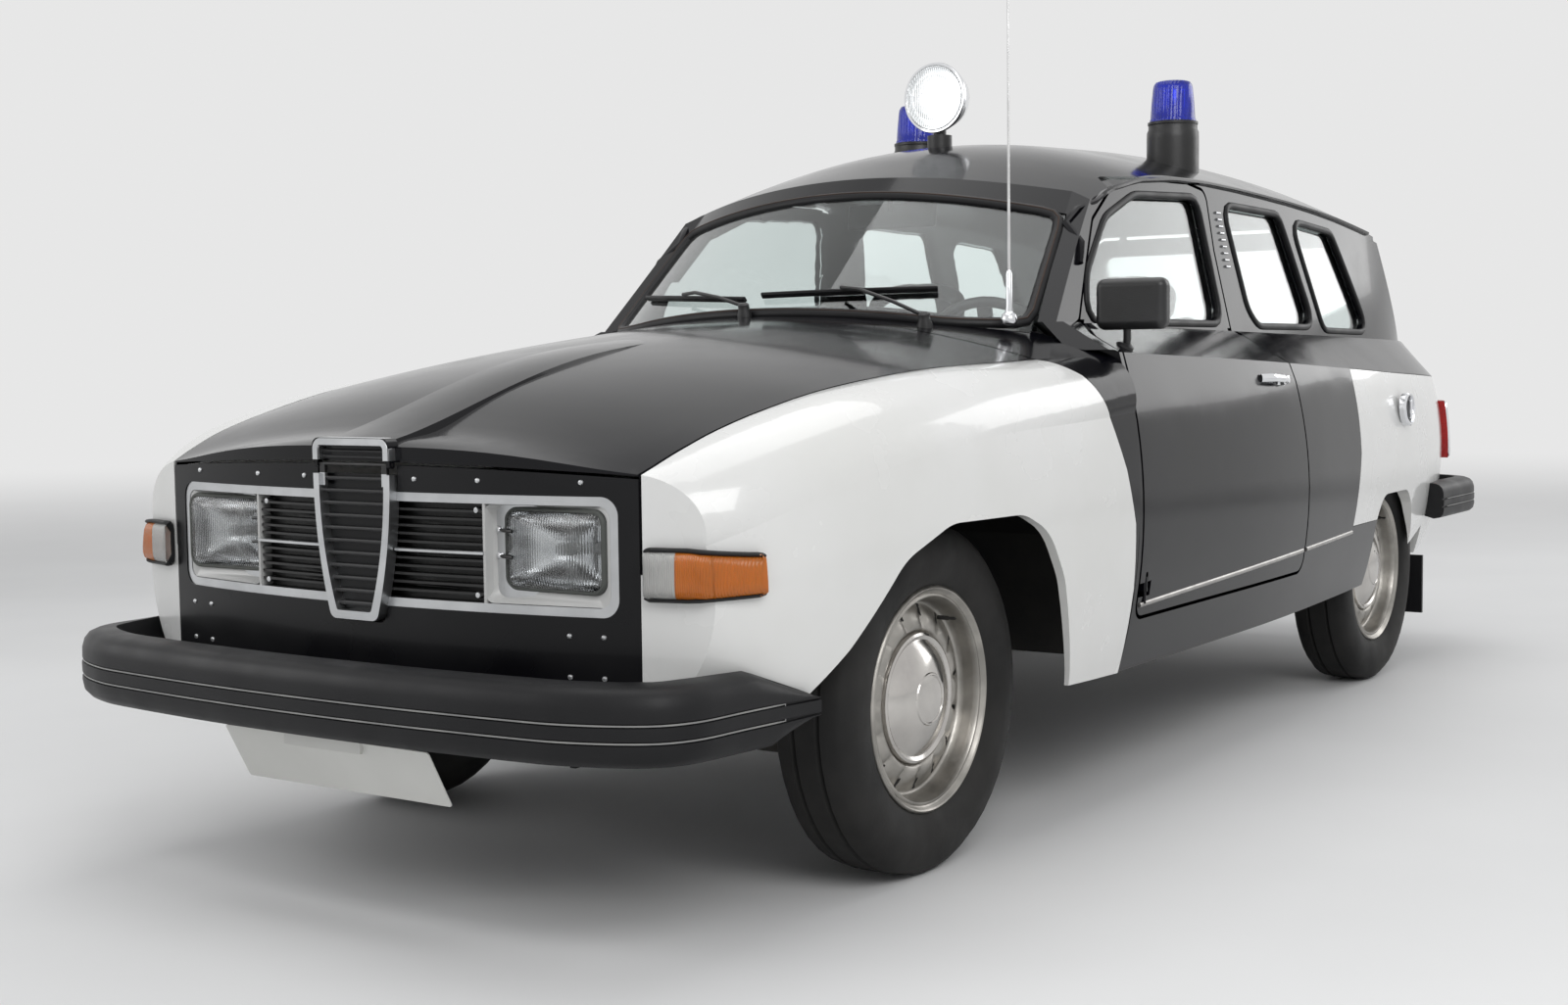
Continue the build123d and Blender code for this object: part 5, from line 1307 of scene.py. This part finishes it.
def make_dashboard():
    """Dial housing, dials, glove box lid, switches and vents on the dashboard, and the inner mirror."""
    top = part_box("dashboard")[1][2]
    face_y = cast(surface("dashboard"), (-0.3, 2.0, 0.85), FORWARD)[0].y
    dial_y = face_y - 0.030
    dial_z = 0.942
    brick("dial_housing", (0.140, dial_y - 0.100, 0.880), (0.460, dial_y, top + 0.028), "black_plastic",
          radius=0.014, segments=5)
    for k, x in enumerate((0.200, 0.300, 0.400)):
        place = (x, dial_y, dial_z)
        turned(f"dial_ring_{k}", DIAL_RING, place, REARWARD, "chrome_trim", segments=40, loop=True)
        turned(f"dial_face_{k}", DIAL_FACE, place, REARWARD, "dial_black", segments=40)
        wire(f"dial_hand_{k}", [(x, dial_y + 0.002, dial_z),
                                (x - 0.018, dial_y + 0.002, dial_z - 0.014 + 0.005 * k)],
             0.0009, "plate_white", count=6)
    lid = spaced(rounded_outline(rectangle(-0.500, -0.140, 0.800, 0.888), 0.014), 0.02)
    swept("glove_lid_edge", [Vector((q.x, face_y + 0.0008, q.y)) for q in lid], REARWARD,
          bead_section(0.006, 0.003), "black_plastic", closed=True)
    brick("glove_latch", (-0.345, face_y - 0.002, 0.868), (-0.295, face_y + 0.008, 0.880), "chrome_trim")
    for k in range(5):
        turned(f"switch_{k}", SWITCH, (-0.095 + 0.042 * k, face_y - 0.001, 0.852), REARWARD, "black_plastic",
               segments=24)
    for k, x in enumerate((-0.530, 0.530)):
        turned(f"vent_{k}", VENT, (x, face_y - 0.002, 0.850), REARWARD, "black_plastic", segments=32)
    tilt = Matrix.Rotation(radians(-8), 3, "X")
    brick("inner_mirror", inner_mirror + Vector((-0.120, -0.006, -0.030)),
          inner_mirror + Vector((0.120, 0.008, 0.030)), "black_plastic", radius=0.008, tilt=tilt)
    brick("inner_mirror_glass", inner_mirror + Vector((-0.114, 0.0075, -0.025)),
          inner_mirror + Vector((0.114, 0.0095, 0.025)), "bright_chrome", radius=0.0006, tilt=tilt)
    wire("inner_mirror_stalk", [inner_mirror + Vector((0, -0.004, z)) for z in (0.010, 0.075)], 0.006,
         "black_plastic")


wheel_radius = 0.187
STEERING_PAD = [(0.022, -0.052), (0.030, -0.042), (0.062, -0.034), (0.070, -0.018), (0.066, -0.006),
                (0.050, 0.002), (0.020, 0.005), (0.001, 0.005)]
# Distance from the hub and sink behind the rim of each spoke's points
SPOKE = ((0.045, 0.020), (0.100, 0.016), (0.150, 0.006), (0.182, 0.0))


def make_steering_wheel():
    """Rim, spokes and padded hub of the steering wheel."""
    tilt = radians(24)
    axis = Vector((0, cos(tilt), sin(tilt)))
    centre = Vector((0.300, 0.960, 0.880))
    aside = Vector((1, 0, 0))
    rise = axis.cross(aside)
    turns = [2 * pi * k / 64 for k in range(64)]
    path = [centre + aside * wheel_radius * cos(turn) + rise * wheel_radius * sin(turn) for turn in turns]
    ring = swept("steering_rim", path, axis, round_section(0.0125, 12), "black_plastic", "steering_wheel",
                 True)
    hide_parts("steering_wheel")
    for k, (turn, width) in enumerate(((-0.12, 0.030), (pi + 0.12, 0.030), (-pi / 2, 0.036))):
        way = aside * cos(turn) + rise * sin(turn)
        half = width / 2
        swept(f"steering_spoke_{k}", [centre + way * out - axis * sink for out, sink in SPOKE], axis,
              [(half, -0.004), (half, 0.003), (0.0, 0.006), (-half, 0.003), (-half, -0.004)], "black_plastic",
              "steering_wheel")
    turned("steering_pad", STEERING_PAD, centre, axis, "black_plastic", "steering_wheel", 48)


# Floor, light and background

backdrop = (0.80, 0.80, 0.80, 1)
sky = (0.97, 0.985, 1.0, 1)
world_light = 0.42
LAMPS = (
    ("key", (4.5, -3.0, 4.2), (0.2, 0.6, 0.6), (4.0, 3.0), 150),
    ("fill", (-4.5, -3.5, 3.0), (0.0, 0.8, 0.6), (4.0, 3.0), 70),
    ("top", (0.0, 1.2, 5.5), (0.0, 1.2, 0.8), (4.0, 6.0), 110),
    ("rear", (3.0, 7.0, 3.0), (0.0, 2.0, 0.6), (4.0, 3.0), 70),
)


def seen_rays(tree):
    """One for rays that show the background: the camera's, and those off metal and through glass."""
    rays = tree.nodes.new("ShaderNodeLightPath").outputs
    seen = math_node(tree, "MAXIMUM", rays["Is Camera Ray"], rays["Is Glossy Ray"])
    return math_node(tree, "MAXIMUM", seen, rays["Is Transmission Ray"])


def make_floor():
    """Pale floor that takes the car's shadow and fades into the background further out."""
    bpy.ops.mesh.primitive_plane_add(size=120, location=(0, 0, 0))
    floor = bpy.context.object
    floor.name = "floor"
    mat, tree, shader = varied("floor", (0.78, 0.78, 0.78), (0.82, 0.82, 0.82), 0.8, (0.6, 0.7), 2.0)
    far = add_node(tree, "Emission", {"Color": backdrop, "Strength": 1.0})
    away = add_node(tree, "VectorMath", {0: own_place(tree)}, operation="LENGTH")
    fade = add_node(tree, "MapRange", {"Value": away.outputs["Value"], "From Min": 4.0, "From Max": 16.0},
                    interpolation_type="SMOOTHSTEP")
    share = math_node(tree, "MULTIPLY", fade.outputs["Result"], seen_rays(tree))
    mix_into("Material Output", tree, share, shader.outputs["BSDF"], far.outputs["Emission"])
    floor.data.materials.append(mat)


def make_world():
    """Surround that lights plainly and shows as a pale background."""
    world = bpy.data.worlds.new("world")
    bpy.context.scene.world = world
    world.use_nodes = True
    tree = world.node_tree
    plain = tree.nodes["Background"]
    plain.inputs["Color"].default_value = sky
    plain.inputs["Strength"].default_value = world_light
    seen = add_node(tree, "Background", {"Color": backdrop, "Strength": 1.0})
    mix_into("World Output", tree, seen_rays(tree), plain.outputs["Background"], seen.outputs["Background"])


def make_lights():
    """Large soft boxes over and beside the car, each aimed at a point."""
    for name, place, aim, size, power in LAMPS:
        data = bpy.data.lights.new(name, "AREA")
        data.shape = "RECTANGLE"
        data.size, data.size_y = size
        data.energy = power
        lamp = placed(name, data)
        lamp.location = place
        lamp.rotation_euler = (Vector(aim) - Vector(place)).to_track_quat("-Z", "Y").to_euler()


make_camera()
dress_frame()
for wheel_name in ("front_left", "front_right", "rear_left", "rear_right"):
    make_wheel(wheel_name)
for car_side in SIDES:
    make_headlamp(car_side)
    make_indicator(car_side)
make_grille()
make_nose_trim()
make_bumpers()
make_beacons()
make_searchlight()
make_window_seals()
make_windscreen_seal()
make_wipers()
make_side_trim()
make_mirror()
make_filler()
make_antenna()
make_drip_rails()
make_tail()
make_steering_wheel()
make_seats()
make_dashboard()
make_floor()
make_world()
make_lights()
bpy.context.scene.view_settings.view_transform = "Standard"
